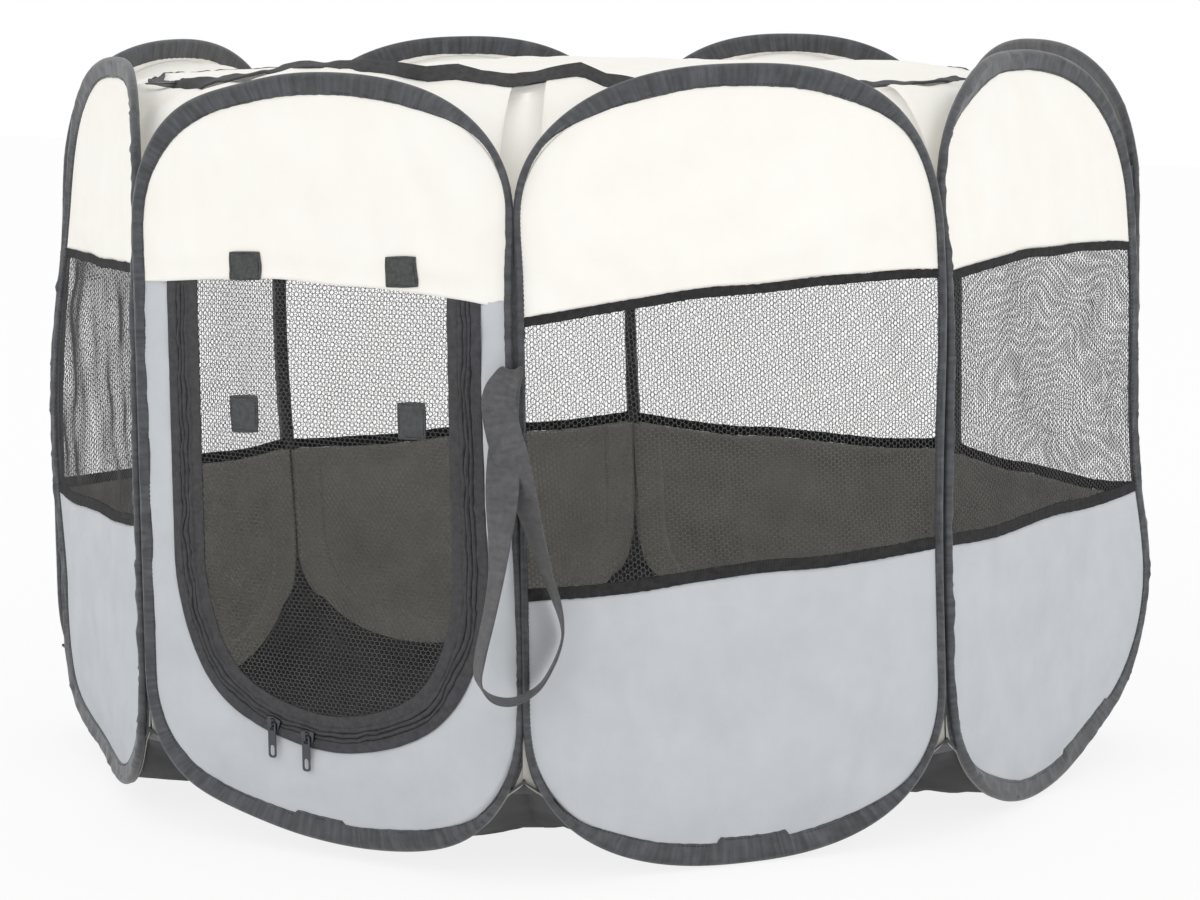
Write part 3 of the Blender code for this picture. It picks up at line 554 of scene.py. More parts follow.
def build_wire(wall):
    """The spring wire in a sleeve, which takes the same line."""
    samples = hoop_samples(240)
    turn = np.linspace(0, 2 * math.pi, 8, endpoint=False)
    rows = [on_wall(wall, *hoop_line(wall, samples, math.cos(a) * WIRE_RADIUS - WIRE_RADIUS),
                    math.sin(a) * WIRE_RADIUS) for a in turn]
    wire = new_piece(wall + "_spring_wire", np.stack(rows), grid_faces(len(turn), 240, True, True, True),
                     [steel])
    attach(wire, wall)
    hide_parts(wall + "_hoop_wire")


for wall in WALLS:
    build_wire(wall)
print("sleeves", len(WALLS))

# %% [markdown]
# The window's edges aren't level on the real pen: the cloth is pulled up at one seam and down at
# the other. Each wall has a small table for that: how far its upper and lower edges are moved at
# the left end, in the middle and at the right end.

# %% The windows' edges
# Millimetres at u = -1, 0 and 1 of the half width, first the upper edge and then the lower edge
EDGE_MOVES = {
    "front": ((-1, 5, -6), (0, 0, 0)),
    "front_right": ((-12, 3, 8), (-11, -5, 4)),
    "right": ((5, 9, 1), (4, 1, 0)),
    "front_left": ((-3, 3, 10), (-6, 2, 14)),
    "back_right": ((0, -2, 0), (-5, -14, -15)),
    "back": ((0, -3, 0), (-13, -15, -10)),
    "back_left": ((0, -2, 0), (-9, -13, -15)),
    "left": ((0, 0, 0), (-14, -10, -6)),
}


def window_edge(wall, u, upper):
    """The height of a wall's upper or lower window edge at u."""
    left, middle, right = (value * MM for value in EDGE_MOVES[wall][0 if upper else 1])
    x = np.asarray(u) / (HOOP_HALF - CLOTH_TUCK)
    curve = middle + (right - left) / 2 * x + ((right + left) / 2 - middle) * x * x
    waver = ripple(np.asarray(u), 0 * x, 7 if upper else 8, 150 * MM, 2) * 1.2 * MM
    return (WINDOW_TOP if upper else WINDOW_BOTTOM) + curve + waver


# %% [markdown]
# The cloth panels follow. A panel is a grid whose columns run from the window's edge to the
# hoop, with more columns near its sides where the hoop turns. It keeps to its seams there and
# swells between them. The lower panels are grey outside and taupe inside, which a sheet shows by
# having two skins with a finish each.

# %% Cloth panels
PANEL_COLUMNS, PANEL_ROWS = 90, 54
# Creases: start and end in u and z, depth and width, all in millimetres
CREASES = {
    ("front", "upper"): (((-40, 560), (-70, 430), 1.2, 14), ((60, 565), (110, 440), -1.5, 12),
                         ((0, 570), (20, 440), 1.0, 20)),
    ("front_right", "upper"): (((-120, 480), (-60, 420), 1.4, 9), ((-20, 570), (-10, 430), -1.0, 16),
                               ((70, 560), (60, 430), 1.0, 18)),
    ("right", "upper"): (((-30, 560), (0, 420), 1.3, 14), ((60, 540), (90, 430), -1.0, 12)),
    ("front_left", "upper"): (((-30, 560), (20, 430), 1.5, 12),),
    ("front_right", "lower"): (((-110, 190), (-60, 40), 1.3, 13), ((-20, 205), (-30, 30), -1.0, 22),
                               ((95, 200), (120, 60), 1.6, 12),
                               ((40, 200), (60, 20), 1.1, 18), ((130, 170), (90, 40), -1.2, 11)),
    ("right", "lower"): (((-20, 205), (-60, 30), 1.8, 14), ((60, 205), (70, 30), -1.2, 16),
                         ((-80, 190), (-100, 70), 1.2, 10), ((26, 200), (20, 60), 1.6, 9)),
    ("front_left", "lower"): (((0, 200), (40, 40), 1.6, 14), ((-60, 190), (-40, 60), -1.4, 12)),
}


def panel_ends(wall, part, u):
    """The lowest and highest points of a panel at u."""
    half, high = HOOP_HALF - CLOTH_SIDE_TUCK, HOOP_CROWN - CLOTH_TUCK
    bow = hoop_bow(u / half, high)
    if part == "upper":
        return window_edge(wall, u, True), CROWN_CENTRE + bow
    return SOLE_CENTRE - bow, window_edge(wall, u, False)


def panel_out(wall, part, u, z):
    """How far a stretched panel stands out from its wall's plane."""
    low, top = panel_ends(wall, part, u)
    half, high = HOOP_HALF - CLOTH_SIDE_TUCK, HOOP_CROWN - CLOTH_TUCK
    seed = 300 + 20 * WALLS.index(wall) + (0 if part == "upper" else 10)
    beyond = np.where(z > CROWN_CENTRE, z - CROWN_CENTRE, np.minimum(z - SOLE_CENTRE, 0))
    rim = (1 - np.hypot(u / half, beyond / high)) * high
    seam = np.abs(z - (low if part == "upper" else top))
    held = eased(rim / (34 * MM)) * eased(seam / (22 * MM))
    out = (2.2 * MM + ripple(u, z, seed, 120 * MM, 3) * 2.0 * MM) * held
    out += ripple(u * 2.2, z * 0.5, seed + 5, 60 * MM,
                  2) * 0.5 * MM * eased(rim / (12 * MM)) * eased(seam / (9 * MM))
    for start, end, depth, width in CREASES.get((wall, part), ()):
        ends = [tuple(value * MM for value in point) for point in (start, end)]
        out += crease(u, z, *ends, 1.8 * depth * MM,
                      0.75 * width * MM) * eased(rim / (14 * MM)) * eased(seam / (8 * MM))
    if (wall, part) == ("front", "upper"):
        over_door = eased((DOOR_OUTER + 6 * MM - np.abs(u - DOOR_SHIFT)) / (4 * MM))
        out += 1.5 * MM * over_door * (1 - eased((z - low) / (12 * MM)))
    return out


def panel(wall, part):
    """A cream upper cloth or a grey lower cloth."""
    u = np.sin(np.linspace(-math.pi / 2, math.pi / 2, PANEL_COLUMNS)) * (HOOP_HALF - CLOTH_SIDE_TUCK)
    low, top = panel_ends(wall, part, u)
    z = low + (top - low) * np.linspace(0, 1, PANEL_ROWS)[:, None]
    u = np.broadcast_to(u, z.shape)
    faces = grid_faces(PANEL_ROWS, PANEL_COLUMNS)
    finishes = [cream] if part == "upper" else [grey, taupe]
    made = new_piece(wall + "_" + part + "_panel", on_wall(wall, u, z, panel_out(wall, part, u, z)),
                     faces, finishes, np.stack([u, z], axis=-1), CLOTH, len(finishes) - 1)
    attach(made, wall)
    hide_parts(wall + "_" + part + "_cloth")
    return made, flat_area(u, z), float(z.max() - z.min())


# How high the floor's cloth reaches between two hoops
GUSSET_TOP = 78 * MM
# The lining's cross-section: insets from the hoop and how far it stands out, in millimetres
LINING = ((-2.8, -3.6), (0.5, -3.95), (4, -3.6), (9, -2.9), (14, -2.2), (20, -1.3), (26, -1.0))


def lining(wall):
    """The coated inside of a lower cloth, which runs on behind the sleeve to the hoop."""
    turn = np.linspace(math.pi, 2 * math.pi, 220)
    rise = np.linspace(0, 1, 24)[:-1]
    rows = []
    profile = [row for row in LINING if wall != "front" or row[0] < SLEEVE_EDGE / MM]
    for inset, out in np.array(profile) * MM:
        half, high = HOOP_HALF - inset, HOOP_CROWN - inset
        left, right = (window_edge(wall, side * half, False) - 1 * MM for side in (-1, 1))
        z = np.concatenate([left + (SOLE_CENTRE - left) * rise,
                            SOLE_CENTRE + high * squarer(np.sin(turn)),
                            (right + (SOLE_CENTRE - right) * rise)[::-1]])
        u = np.concatenate([0 * rise - half, half * squarer(np.cos(turn)), 0 * rise + half])
        if inset < 0:
            u += np.sign(u) * (half - np.abs(u)) * eased((z - GUSSET_TOP + 16 * MM) / (16 * MM))
        out = out + ripple(u, z, 450, 50 * MM, 2) * 0.2 * MM
        if wall != "front":
            inner = eased((inset - 9 * MM) / (17 * MM))
            out = out * (1 - inner) + (panel_out(wall, "lower", u, z) - 0.1 * MM) * inner
        rows.append(on_wall(wall, u, z, out))
    points = np.stack(rows)
    made = new_piece(wall + "_lining", points, grid_faces(*points.shape[:2]), [taupe], points[..., :2],
                     0.5 * MM)
    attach(made, wall)
    return made


linings = {wall: lining(wall) for wall in WALLS}
for wall in WALLS:
    panel(wall, "upper")
    if wall != "front":
        panel(wall, "lower")

# %% [markdown]
# The windows are knitted net. Its holes are six-sided, 4.2 mm apart along a row, and the rows are
# 3 mm apart, on threads of about a third of a millimetre. The net of the windows was cut with its
# rows upright and the door's with its rows level. A picture of a net would need a see-through
# material, which loses its edges when it is far away. So each thread is a real strand: every
# hole has two knots, which are small triangles, and three strands, which join them.

# %% Net
NET_ACROSS, NET_UP = 4.2 * MM, 2.95 * MM
NET_THREAD, NET_DEPTH = 0.38 * MM, 0.3 * MM
# How far upright rows lean, as a share of their height
NET_LEAN = 0.08


def net_mesh(low, high, keep, upright=False):
    """Flat points and faces of a six-holed net between two corners, where keep(u, z) is true."""
    if upright:
        low, high = low[::-1], high[::-1]
    columns = int((high[0] - low[0]) / NET_ACROSS) + 4
    rows = int((high[1] - low[1]) / NET_UP) + 4
    row, column = np.mgrid[0:rows, 0:columns]
    u = low[0] - NET_ACROSS + (column + (row % 2) / 2) * NET_ACROSS
    z = low[1] - NET_UP + row * NET_UP
    knot = NET_THREAD * 0.577
    reach = NET_UP * 2 / 3
    tilt = math.cos(math.pi / 6)
    corners = []
    for side, tips in ((1, ((-tilt, 0.5), (tilt, 0.5), (0, -1))),
                       (-1, ((-tilt, -0.5), (tilt, -0.5), (0, 1)))):
        for across, up in tips:
            corners.append(np.stack([u + across * knot, z + side * reach + up * knot], axis=-1))
    points = np.stack(corners, axis=2).reshape(-1, 2)
    if upright:
        points = points[:, ::-1].copy()
        points[:, 0] -= NET_LEAN * (points[:, 1] - WINDOW_BOTTOM)
    fits = keep(points[:, 0], points[:, 1])
    number = (row * columns + column) * 6
    shift = row % 2

    def at(up, right, corner):
        """The number of a corner in the cell that lies that many rows up and half cells right."""
        other_row = row + up
        other = column + (right + shift - (other_row % 2)) // 2
        good = (other_row >= 0) & (other_row < rows) & (other >= 0) & (other < columns)
        return np.where(good, (other_row * columns + other) * 6 + corner, -1)

    own = [number + k for k in range(6)]
    shapes = [
        (own[0], own[1], own[2]),
        (own[3], own[5], own[4]),
        (own[1], own[0], at(2, 0, 3), at(2, 0, 4)),
        (own[0], own[2], at(1, -1, 4), at(1, -1, 5)),
        (own[2], own[1], at(1, 1, 5), at(1, 1, 3)),
    ]
    faces = []
    for shape in shapes:
        numbers = np.stack([part.ravel() for part in shape], axis=1)
        good = (numbers >= 0).all(axis=1)
        numbers = numbers[good]
        numbers = numbers[fits[numbers].all(axis=1)]
        faces.append(numbers)
    used = np.unique(np.concatenate([part.ravel() for part in faces]))
    renumber = np.full(len(points), -1)
    renumber[used] = np.arange(len(used))
    renumbered = [face for part in faces for face in renumber[part].tolist()]
    return points[used], [tuple(face[::-1] if upright else face) for face in renumbered]


def net_swell(u, z, seed, size):
    """How far a stretched net stands out from its frame."""
    return ripple(u, z, seed, 130 * MM, 2) * size


def window_net(wall, seed):
    """The net of one window, tucked behind its bindings."""
    limit = HOOP_HALF - CLOTH_SIDE_TUCK

    def keep(u, z):
        inside = np.abs(u) < limit
        under = z < window_edge(wall, u, True) + 2 * MM
        return inside & under & (z > window_edge(wall, u, False) - 2 * MM)

    slack = NET_LEAN * (WINDOW_TOP - WINDOW_BOTTOM) + 5 * MM
    corner = np.array([limit + slack, WINDOW_TOP + 20 * MM])
    points, faces = net_mesh((-corner[0], WINDOW_BOTTOM - 24 * MM), tuple(corner), keep, upright=True)
    u, z = points.T
    hold = eased((limit - np.abs(u)) / (40 * MM)) * eased((z - WINDOW_BOTTOM) / (40 * MM))
    hold = hold * eased((WINDOW_TOP - z) / (40 * MM))
    made = new_piece(wall + "_net", on_wall(wall, u, z, net_swell(u, z, seed, 2.5 * MM) * hold), faces,
                     [net], points, NET_DEPTH)
    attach(made, wall)
    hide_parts(wall + "_window_net")
    return made


nets = {wall: window_net(wall, 500 + number) for number, wall in enumerate(WALLS) if wall != "front"}
print("nets", {wall: len(made.data.polygons) for wall, made in nets.items()})

# %% [markdown]
# A binding tape covers the net's raw edges along the top and the bottom of each window. At the
# sides the hoop's own sleeve covers them.

# %% Window bindings
TOP_BINDING, BOTTOM_BINDING = 7 * MM, 9 * MM
BINDING_THICKNESS = 2.0 * MM


def wall_tape(name, wall, u, z, width, thickness, finish, seed, wander=0.5 * MM, scallop=0.45 * MM):
    """A tape in a wall's plane along the line of u and z, with a wavering, rough edge."""
    u, z = np.asarray(u, float), np.asarray(z, float)
    middles = on_wall(wall, u, z, ripple(u, z, seed, 40 * MM, 2) * wander * 0.6)
    ahead = np.gradient(middles, axis=0)
    ahead /= np.linalg.norm(ahead, axis=1)[:, None]
    outward = np.tile(np.append(WALL_FRAMES[wall][2], 0), (len(u), 1))
    across = np.cross(outward, ahead)
    widths = width + ripple(u, z, seed + 1, 60 * MM, 2) * wander
    widths = widths + ripple(u, z, seed + 2, 2 * NET_ACROSS, 2) * scallop
    made = tape(name, middles, across, outward, widths, thickness, [finish])
    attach(made, wall)
    return made


def window_bindings(wall, seed):
    half = HOOP_HALF - CLOTH_SIDE_TUCK
    across = np.linspace(-half, half, 300)
    top = window_edge(wall, across, True) - TOP_BINDING / 2
    low = window_edge(wall, across, False) + BOTTOM_BINDING / 2
    made = [
        wall_tape(wall + "_window_top_binding", wall, across, top, TOP_BINDING, BINDING_THICKNESS, hem,
                  seed),
        wall_tape(wall + "_window_bottom_binding", wall, across, low, BOTTOM_BINDING, BINDING_THICKNESS,
                  hem, seed + 2),
    ]
    return made


bindings = {wall: window_bindings(wall, 600 + 10 * number) for number,
            wall in enumerate(WALLS) if wall != "front"}
for wall in WALLS:
    if wall == "front":
        continue

# %% [markdown]
# The front wall has the door. Its opening is a U, and the grey cloth round it is a grid between
# the U and the hoop: each column runs from a point of the U straight out to the hoop.

# %% Door: the cloth round it
DOOR_SQUARE = 5.5 * MM


def zip_wander(share, radius):
    """How far the zip strays sideways at a share of its length; less and less away from its teeth."""
    nearness = math.exp(-((radius - DOOR_ZIP) / (5 * MM)) ** 2)
    wide = ripple(share, 0 * share, 705, 0.07, 2) * 1.4 * MM
    narrow = ripple(share, 0 * share, 706, 0.02, 2) * 0.45 * MM
    return nearness * (wide + narrow)


def door_corner(turn):
    """How far the U's lower corners stand out from a half circle."""
    return DOOR_SQUARE * np.sin(2 * turn) ** 4


def from_door_middle(u, z):
    """A place's distance from the middle of the door's U, less what its corners stand out."""
    below = np.minimum(z - DOOR_CENTRE, 0)
    return np.hypot(u - DOOR_SHIFT, below) - door_corner(np.arctan2(below, u - DOOR_SHIFT))


def door_line(radius, count, top=WINDOW_TOP):
    """A U-shaped line at a radius: u and z, evenly spaced, from its upper left end."""
    side = top - DOOR_CENTRE
    length = 2 * side + math.pi * radius
    s = np.linspace(0, length, count)
    turn = np.clip((s - side) / radius, 0, math.pi)
    strayed = radius + zip_wander(s / length, radius) + door_corner(turn)
    u = DOOR_SHIFT - strayed * np.cos(turn)
    z = DOOR_CENTRE - strayed * np.sin(turn) + np.clip(side - s, 0, None)
    z = z + np.clip(s - side - math.pi * radius, 0, None)
    return u, z


def door_surround(seed):
    columns, rows = 150, 16
    inner_u, inner_z = door_line(DOOR_OUTER - 3 * MM, columns)
    half, high = HOOP_HALF - CLOTH_SIDE_TUCK, HOOP_CROWN - CLOTH_TUCK
    turn = np.linspace(0, math.pi, 600)
    rim_u = np.concatenate([[-half], -half * squarer(np.cos(turn)), [half]]) - DOOR_SHIFT
    rim_z = np.concatenate([[DOOR_CENTRE], SOLE_CENTRE - high * squarer(np.sin(turn)), [DOOR_CENTRE]])
    rim_angle = np.arctan2(rim_z - DOOR_CENTRE, rim_u)
    rim_angle = np.where(rim_angle > math.pi / 2, rim_angle - 2 * math.pi, rim_angle)
    rim_angle[0] = -math.pi
    inner_u = inner_u - DOOR_SHIFT
    angle = np.arctan2(inner_z - DOOR_CENTRE, inner_u)
    straight = inner_z >= DOOR_CENTRE
    angle = np.where(straight, 0, angle)
    order = np.argsort(rim_angle)
    outer_u = np.interp(angle, rim_angle[order], rim_u[order])
    outer_z = np.interp(angle, rim_angle[order], rim_z[order])
    outer_u = np.where(straight, np.sign(inner_u) * half - DOOR_SHIFT, outer_u)
    outer_z = np.where(straight, inner_z, outer_z)
    t = np.linspace(0, 1, rows)[:, None]
    u = inner_u + (outer_u - inner_u) * t + DOOR_SHIFT
    z = inner_z + (outer_z - inner_z) * t
    hold = eased(t * 4) * eased((1 - t) * 3) * eased((WINDOW_TOP - z) / (20 * MM))
    out = (1.0 * MM + ripple(u, z, seed, 70 * MM, 3) * 1.6 * MM) * hold - 0.5 * MM * (1 - eased(t * 3))
    faces = grid_faces(rows, columns, flip=True)
    made = new_piece("front_surround_panel", on_wall("front", u, z, out), faces, [grey, taupe],
                     np.stack([u, z], axis=-1), CLOTH, 1)
    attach(made, "front")
    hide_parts("front_door_surround")


door_surround(700)

# %% [markdown]
# The door's edge is a zip: one tape sewn to the wall, one to the door and a coil between them.
# The coil's teeth are 1.6 mm apart. Both tapes are puckered, because the zip is stiffer than the
# cloth. The wall's tape has a folded lip that stands a little over the zip.

# %% Door: zip
TOOTH_PITCH = 1.6 * MM
# Two places just under the cream cloth's edge, where the real door's leaf bends when it is rolled up; they
# are not used further
DOOR_HELD = tuple(on_wall("front", DOOR_SHIFT, 426 * MM, 0.0))
DOOR_FREE = tuple(on_wall("front", DOOR_SHIFT, 412 * MM, 0.0))


def zip_teeth(name, u, z, wall, finish):
    """Teeth of a closed zip along a line in a wall's plane, from alternate sides."""
    places = on_wall(wall, u, z, 0.2 * MM)
    ahead = np.gradient(places, axis=0)
    ahead /= np.linalg.norm(ahead, axis=1)[:, None]
    outward = np.tile(np.append(WALL_FRAMES[wall][2], 0), (len(u), 1))
    aside = np.cross(outward, ahead)
    sign = np.where(np.arange(len(u)) % 2 == 0, 1, -1)[:, None]
    points = []
    for run, side, up in ((-0.5, -1, -1), (0.5, -1, -1), (0.5, 1, -1), (-0.5, 1, -1), (-0.4, -0.8, 1),
                          (0.4, -0.8, 1), (0.4, 0.6, 1), (-0.4, 0.6, 1)):
        corner = places + ahead * run * 1.25 * MM + aside * sign * (side * 1.15 + 0.35) * MM
        points.append(corner + outward * up * 0.9 * MM)
    cube = ((0, 3, 2, 1), (4, 5, 6, 7), (0, 1, 5, 4), (1, 2, 6, 5), (2, 3, 7, 6), (3, 0, 4, 7))
    faces = [tuple(corner + 8 * index for corner in face) for index in range(len(u)) for face in cube]
    return new_piece(name, np.stack(points, axis=1), faces, [finish])


def door_tape(name, profile, body, node, seed):
    """One of the zip's tapes from its profile of (radius, out) in millimetres, and puckered."""
    columns = 420
    knots = np.array(profile) * MM
    reach = np.linspace(0, 1, len(knots))
    shares = np.linspace(0, 1, 3 * len(knots) - 2)
    radii, outs = np.interp(shares, reach, knots[:, 0]), np.interp(shares, reach, knots[:, 1])
    rows = []
    for share, radius, proud in zip(shares, radii, outs):
        u, z = door_line(radius, columns, DOOR_TOP)
        s = np.linspace(0, 1, columns)
        settled = 0.2 + 0.8 * eased((DOOR_TOP - z) / (12 * MM))
        swell = math.sin(math.pi * share) ** 0.7
        wide = ripple(s * 0.95, share * 0.02 + 0 * s, seed, 45 * MM, 3) * 1.3 * MM
        fine = ripple(s * 0.95, share * 0.006 + 0 * s, seed + 1, 14 * MM, 2) * 0.5 * MM
        rows.append((u, z, (proud + (wide + fine) * swell) * settled))
    u, z, out = (np.stack([row[k] for row in rows]) for k in range(3))
    made = new_piece(name, on_wall("front", u, z, out), grid_faces(len(shares), columns, flip=True),
                     [zip_tape], np.stack([u, z], axis=-1), 1.0 * MM)
    if body == "door":
        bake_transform(made)
    else:
        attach(made, body)
    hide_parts(node)
    return made


# From the sewn edge, over a groove and a folded lip, to the edge that carries the teeth
WALL_TAPE = ((139, 0.7), (138, 1.4), (134, 1.5), (131.4, 1.6), (130.4, 0.0), (129.4, 1.8), (128.5, 2.2),
             (127.7, 1.4), (127.2, -0.5))
# From the teeth over the other lip and a groove to the net
LEAF_TAPE = ((126.8, -0.5), (126.2, 1.4), (125.2, 2.1), (124.2, 1.7), (123.3, -0.1), (122.4, 1.6),
             (120.9, 2.0), (119.6, 1.0), (118.6, 1.3), (115, 1.4), (112.5, 1.2), (111, 0.6))
door_tape("door_wall_tape", WALL_TAPE, "front", "door_zip_border", 710)
leaf_tape = door_tape("door_leaf_tape", LEAF_TAPE, "door", "door_tape", 720)
teeth_count = int((2 * (DOOR_TOP - DOOR_CENTRE) + math.pi * DOOR_ZIP) / TOOTH_PITCH)
teeth_u, teeth_z = door_line(DOOR_ZIP, teeth_count, DOOR_TOP)
teeth = zip_teeth("door_zip_teeth", teeth_u, teeth_z, "front", nylon)
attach(teeth, "front")
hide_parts("door_zip_chain")


def door_net_out(u, z):
    """How far the door's net stands out between its tapes."""
    held = eased((DOOR_INNER - from_door_middle(u, z)) / (40 * MM))
    return net_swell(u, z, 730, 3 * MM) * held * eased((WINDOW_TOP - z) / (30 * MM))


def door_net_keep(u, z):
    return (from_door_middle(u, z) < DOOR_INNER + 2 * MM) & (z < window_edge("front", u, True) + 2 * MM)


net_low = (DOOR_SHIFT - DOOR_INNER, DOOR_CENTRE - DOOR_INNER - NET_UP)
net_points, net_faces = net_mesh(net_low, (DOOR_SHIFT + DOOR_INNER, DOOR_TOP + 6 * MM), door_net_keep)
net_u, net_z = net_points.T
door_net = new_piece("door_leaf_net", on_wall("front", net_u, net_z, door_net_out(net_u, net_z)),
                     net_faces, [net], net_points, NET_DEPTH)
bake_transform(door_net)
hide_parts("door_net")

# %% [markdown]
# Two pairs of hook-and-loop patches hold the door when it is rolled up: two tabs on the cream
# cloth above it, and two pads on the net. Each is a short piece of thick tape, sewn all round.

# %% Door: tabs and pads
PATCH_PROUD = 0.9 * MM


def upper_front_out(u, z):
    return panel_out("front", "upper", u, z)


def patch(name, node, body, centre, size, seed, under, finish):
    """A small sewn patch with soft corners, and its stitches."""
    count, rows = 26, 22
    a, b = np.meshgrid(np.linspace(-1, 1, count), np.linspace(-1, 1, rows))
    corner = 1 - 0.04 * (a * b) ** 2
    u = centre[0] + a * corner * size[0] / 2
    z = centre[1] + b * corner * size[1] / 2 + a * 0.6 * MM
    edge = 1 - np.maximum(np.abs(a), np.abs(b)) ** 10
    lift = under(u, z) + PATCH_PROUD + (0.55 * MM + ripple(u, z, seed, 12 * MM, 2) * 0.35 * MM) * edge
    made = new_piece(name, on_wall("front", u, z, lift), grid_faces(rows, count), [finish],
                     np.stack([u, z], axis=-1), 1.1 * MM)
    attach(made, body)
    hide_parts(node)
    loop = np.linspace(0, 2 * math.pi, 41)[:-1]
    reach = 0.86 / np.maximum(np.abs(np.cos(loop)), np.abs(np.sin(loop)))
    u = centre[0] + np.cos(loop) * reach * size[0] / 2
    z = centre[1] + np.sin(loop) * reach * size[1] / 2
    places = on_wall("front", u, z, under(u, z) + PATCH_PROUD + 1.1 * MM)
    ahead = np.roll(places, -1, axis=0) - np.roll(places, 1, axis=0)
    outward = np.tile(np.append(WALL_FRAMES["front"][2], 0), (len(loop), 1))
    sewing = stitches(name + "_stitches", places, ahead, outward, thread, length=1.6 * MM)
    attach(sewing, body)


patch("tab_left", "door_tab_left", "front", (-62 * MM, 435 * MM), (29 * MM, 21 * MM), 740,
      upper_front_out, pile)
patch("tab_right", "door_tab_right", "front", (77 * MM, 436 * MM), (28 * MM, 22 * MM), 742,
      upper_front_out, pile)
patch("pad_left", "door_pad_left", "door", (-66 * MM, 326 * MM), (24 * MM, 28 * MM), 750, door_net_out,
      hooks)
patch("pad_right", "door_pad_right", "door", (83 * MM, 330 * MM), (24 * MM, 27 * MM), 752, door_net_out,
      hooks)

# %% [markdown]
# Each slider is a zinc casting: a body with a pinched nose, a bail over it and a flat pull with a
# frame at its top that the bail passes through. They are made with bmesh and bevelled, because a
# casting has no sharp edges.

# %% Sliders and pulls
import bmesh

SLIDER_SIZE = (12 * MM, 8 * MM, 2.5 * MM)
PULL_LENGTH, PULL_WIDTH, PULL_THICKNESS = 27 * MM, 7 * MM, 1.1 * MM


def extruded(loops, thickness):
    """A flat plate across local Y from an outline and its holes, given as x and z."""
    builder = bmesh.new()
    edges = []
    for loop in loops:
        corners = [builder.verts.new((x, -thickness / 2, z)) for x, z in loop]
        edges += [builder.edges.new((corner, corners[(k + 1) % len(corners)])) for k,
                  corner in enumerate(corners)]
    bmesh.ops.triangle_fill(builder, edges=edges, use_beauty=True)
    grown = bmesh.ops.extrude_face_region(builder, geom=list(builder.faces))
    moved = [item for item in grown["geom"] if isinstance(item, bmesh.types.BMVert)]
    bmesh.ops.translate(builder, verts=moved, vec=(0, thickness, 0))
    bmesh.ops.recalc_face_normals(builder, faces=builder.faces)
    return builder


def rounded(width, low, high, corner, steps=5):
    """The outline of an oblong with round corners, in x and z."""
    points = []
    for sign_x, sign_z, start in ((1, 1, 0), (-1, 1, 90), (-1, -1, 180), (1, -1, 270)):
        centre = (sign_x * (width / 2 - corner), (high if sign_z > 0 else low) - sign_z * corner)
        for step in range(steps + 1):
            angle = math.radians(start + 90 * step / steps)
            points.append((centre[0] + corner * math.cos(angle), centre[1] + corner * math.sin(angle)))
    return points


def small_metal(name, builder, place, bevel, body, node):
    mesh = bpy.data.meshes.new(name)
    builder.to_mesh(mesh)
    builder.free()
    mesh.materials.append(gunmetal)
    mesh.shade_smooth()
    made = bpy.data.objects.new(name, mesh)
    made.matrix_world = place
    bpy.context.scene.collection.objects.link(made)
    edge = made.modifiers.new("cast edge", "BEVEL")
    edge.width, edge.segments, edge.limit_method = bevel, 2, "ANGLE"
    mesh.transform(made.matrix_world)
    made.matrix_world = Matrix.Identity(4)
    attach(made, body)
    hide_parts(node)
    return made


def slider_shape(turn):
    """A slider that lies across local Y, its face to -Y; the bail stands along local Z."""
    length, width, height = SLIDER_SIZE
    wings = [(-length / 2, -width * 0.3), (-length * 0.1, -width / 2), (length * 0.42, -width / 2),
             (length / 2, -width * 0.38),
             (length / 2, width * 0.38), (length * 0.42, width / 2), (-length * 0.1, width / 2),
             (-length / 2, width * 0.3)]
    body = extruded([wings], height)
    bmesh.ops.translate(body, verts=body.verts, vec=(0, height / 2, 0))
    bmesh.ops.rotate(body, verts=body.verts, cent=(0, 0, 0), matrix=Matrix.Rotation(turn, 3, "Y"))
    half, room, bar = 3.4 * MM, 2.2 * MM, 0.8 * MM
    arch = [(-half, CLEARANCE), (-half, -room - bar), (half, -room - bar), (half, CLEARANCE),
            (half - bar, CLEARANCE), (half - bar, -room), (bar - half, -room), (bar - half, CLEARANCE)]
    bail = extruded([arch], 1.6 * MM)
    bmesh.ops.rotate(bail, verts=bail.verts, cent=(0, 0, 0),
                     matrix=Matrix(((0, 1, 0), (0, 0, 1), (1, 0, 0))))
    mesh = bpy.data.meshes.new("bail")
    bail.to_mesh(mesh)
    bail.free()
    body.from_mesh(mesh)
    bpy.data.meshes.remove(mesh)
    return body


def pull_shape():
    """A pull that hangs along local -Z from the bail."""
    top = PULL_THICKNESS / 2
    outline = rounded(PULL_WIDTH, top - PULL_LENGTH, top, 2.2 * MM)
    eye = rounded(3.6 * MM, top - 6.3 * MM, top - 1.2 * MM, 0.8 * MM)
    slot = rounded(4 * MM, top - 25.4 * MM, top - 17.5 * MM, 1.95 * MM)
    return extruded([outline, eye, slot], PULL_THICKNESS)


slider_out = 1.2 * MM + CLEARANCE + SLIDER_SIZE[2]
for side, angle in (("left", math.radians(-22)), ("right", math.radians(-8))):
    radius = DOOR_ZIP - 1.6 * MM + SLIDER_SIZE[1] / 2 + door_corner(math.pi / 2 + angle)
    spot = on_wall("front", DOOR_SHIFT + radius * math.sin(angle), DOOR_CENTRE - radius * math.cos(angle),
                   slider_out)
    place = Matrix.Translation(spot)
    small_metal("door_" + side + "_slider", slider_shape(-angle), place, 0.35 * MM, "door_slider_" + side,
                "door_slider_" + side)
    hang = place @ Matrix.Translation((0, -1.1 * MM, 0))
    small_metal("door_" + side + "_pull", pull_shape(), hang, 0.3 * MM, "door_pull_" + side,
                "door_pull_" + side)

# %% [markdown]
# The roof is slack cream cloth. Its outer ring is sewn inside the hoops' crowns and dips between
# them. A round zip, 690 mm across, lets the lid in its middle come off. All three share one
# wavering line at the zip, so that they stay joined.

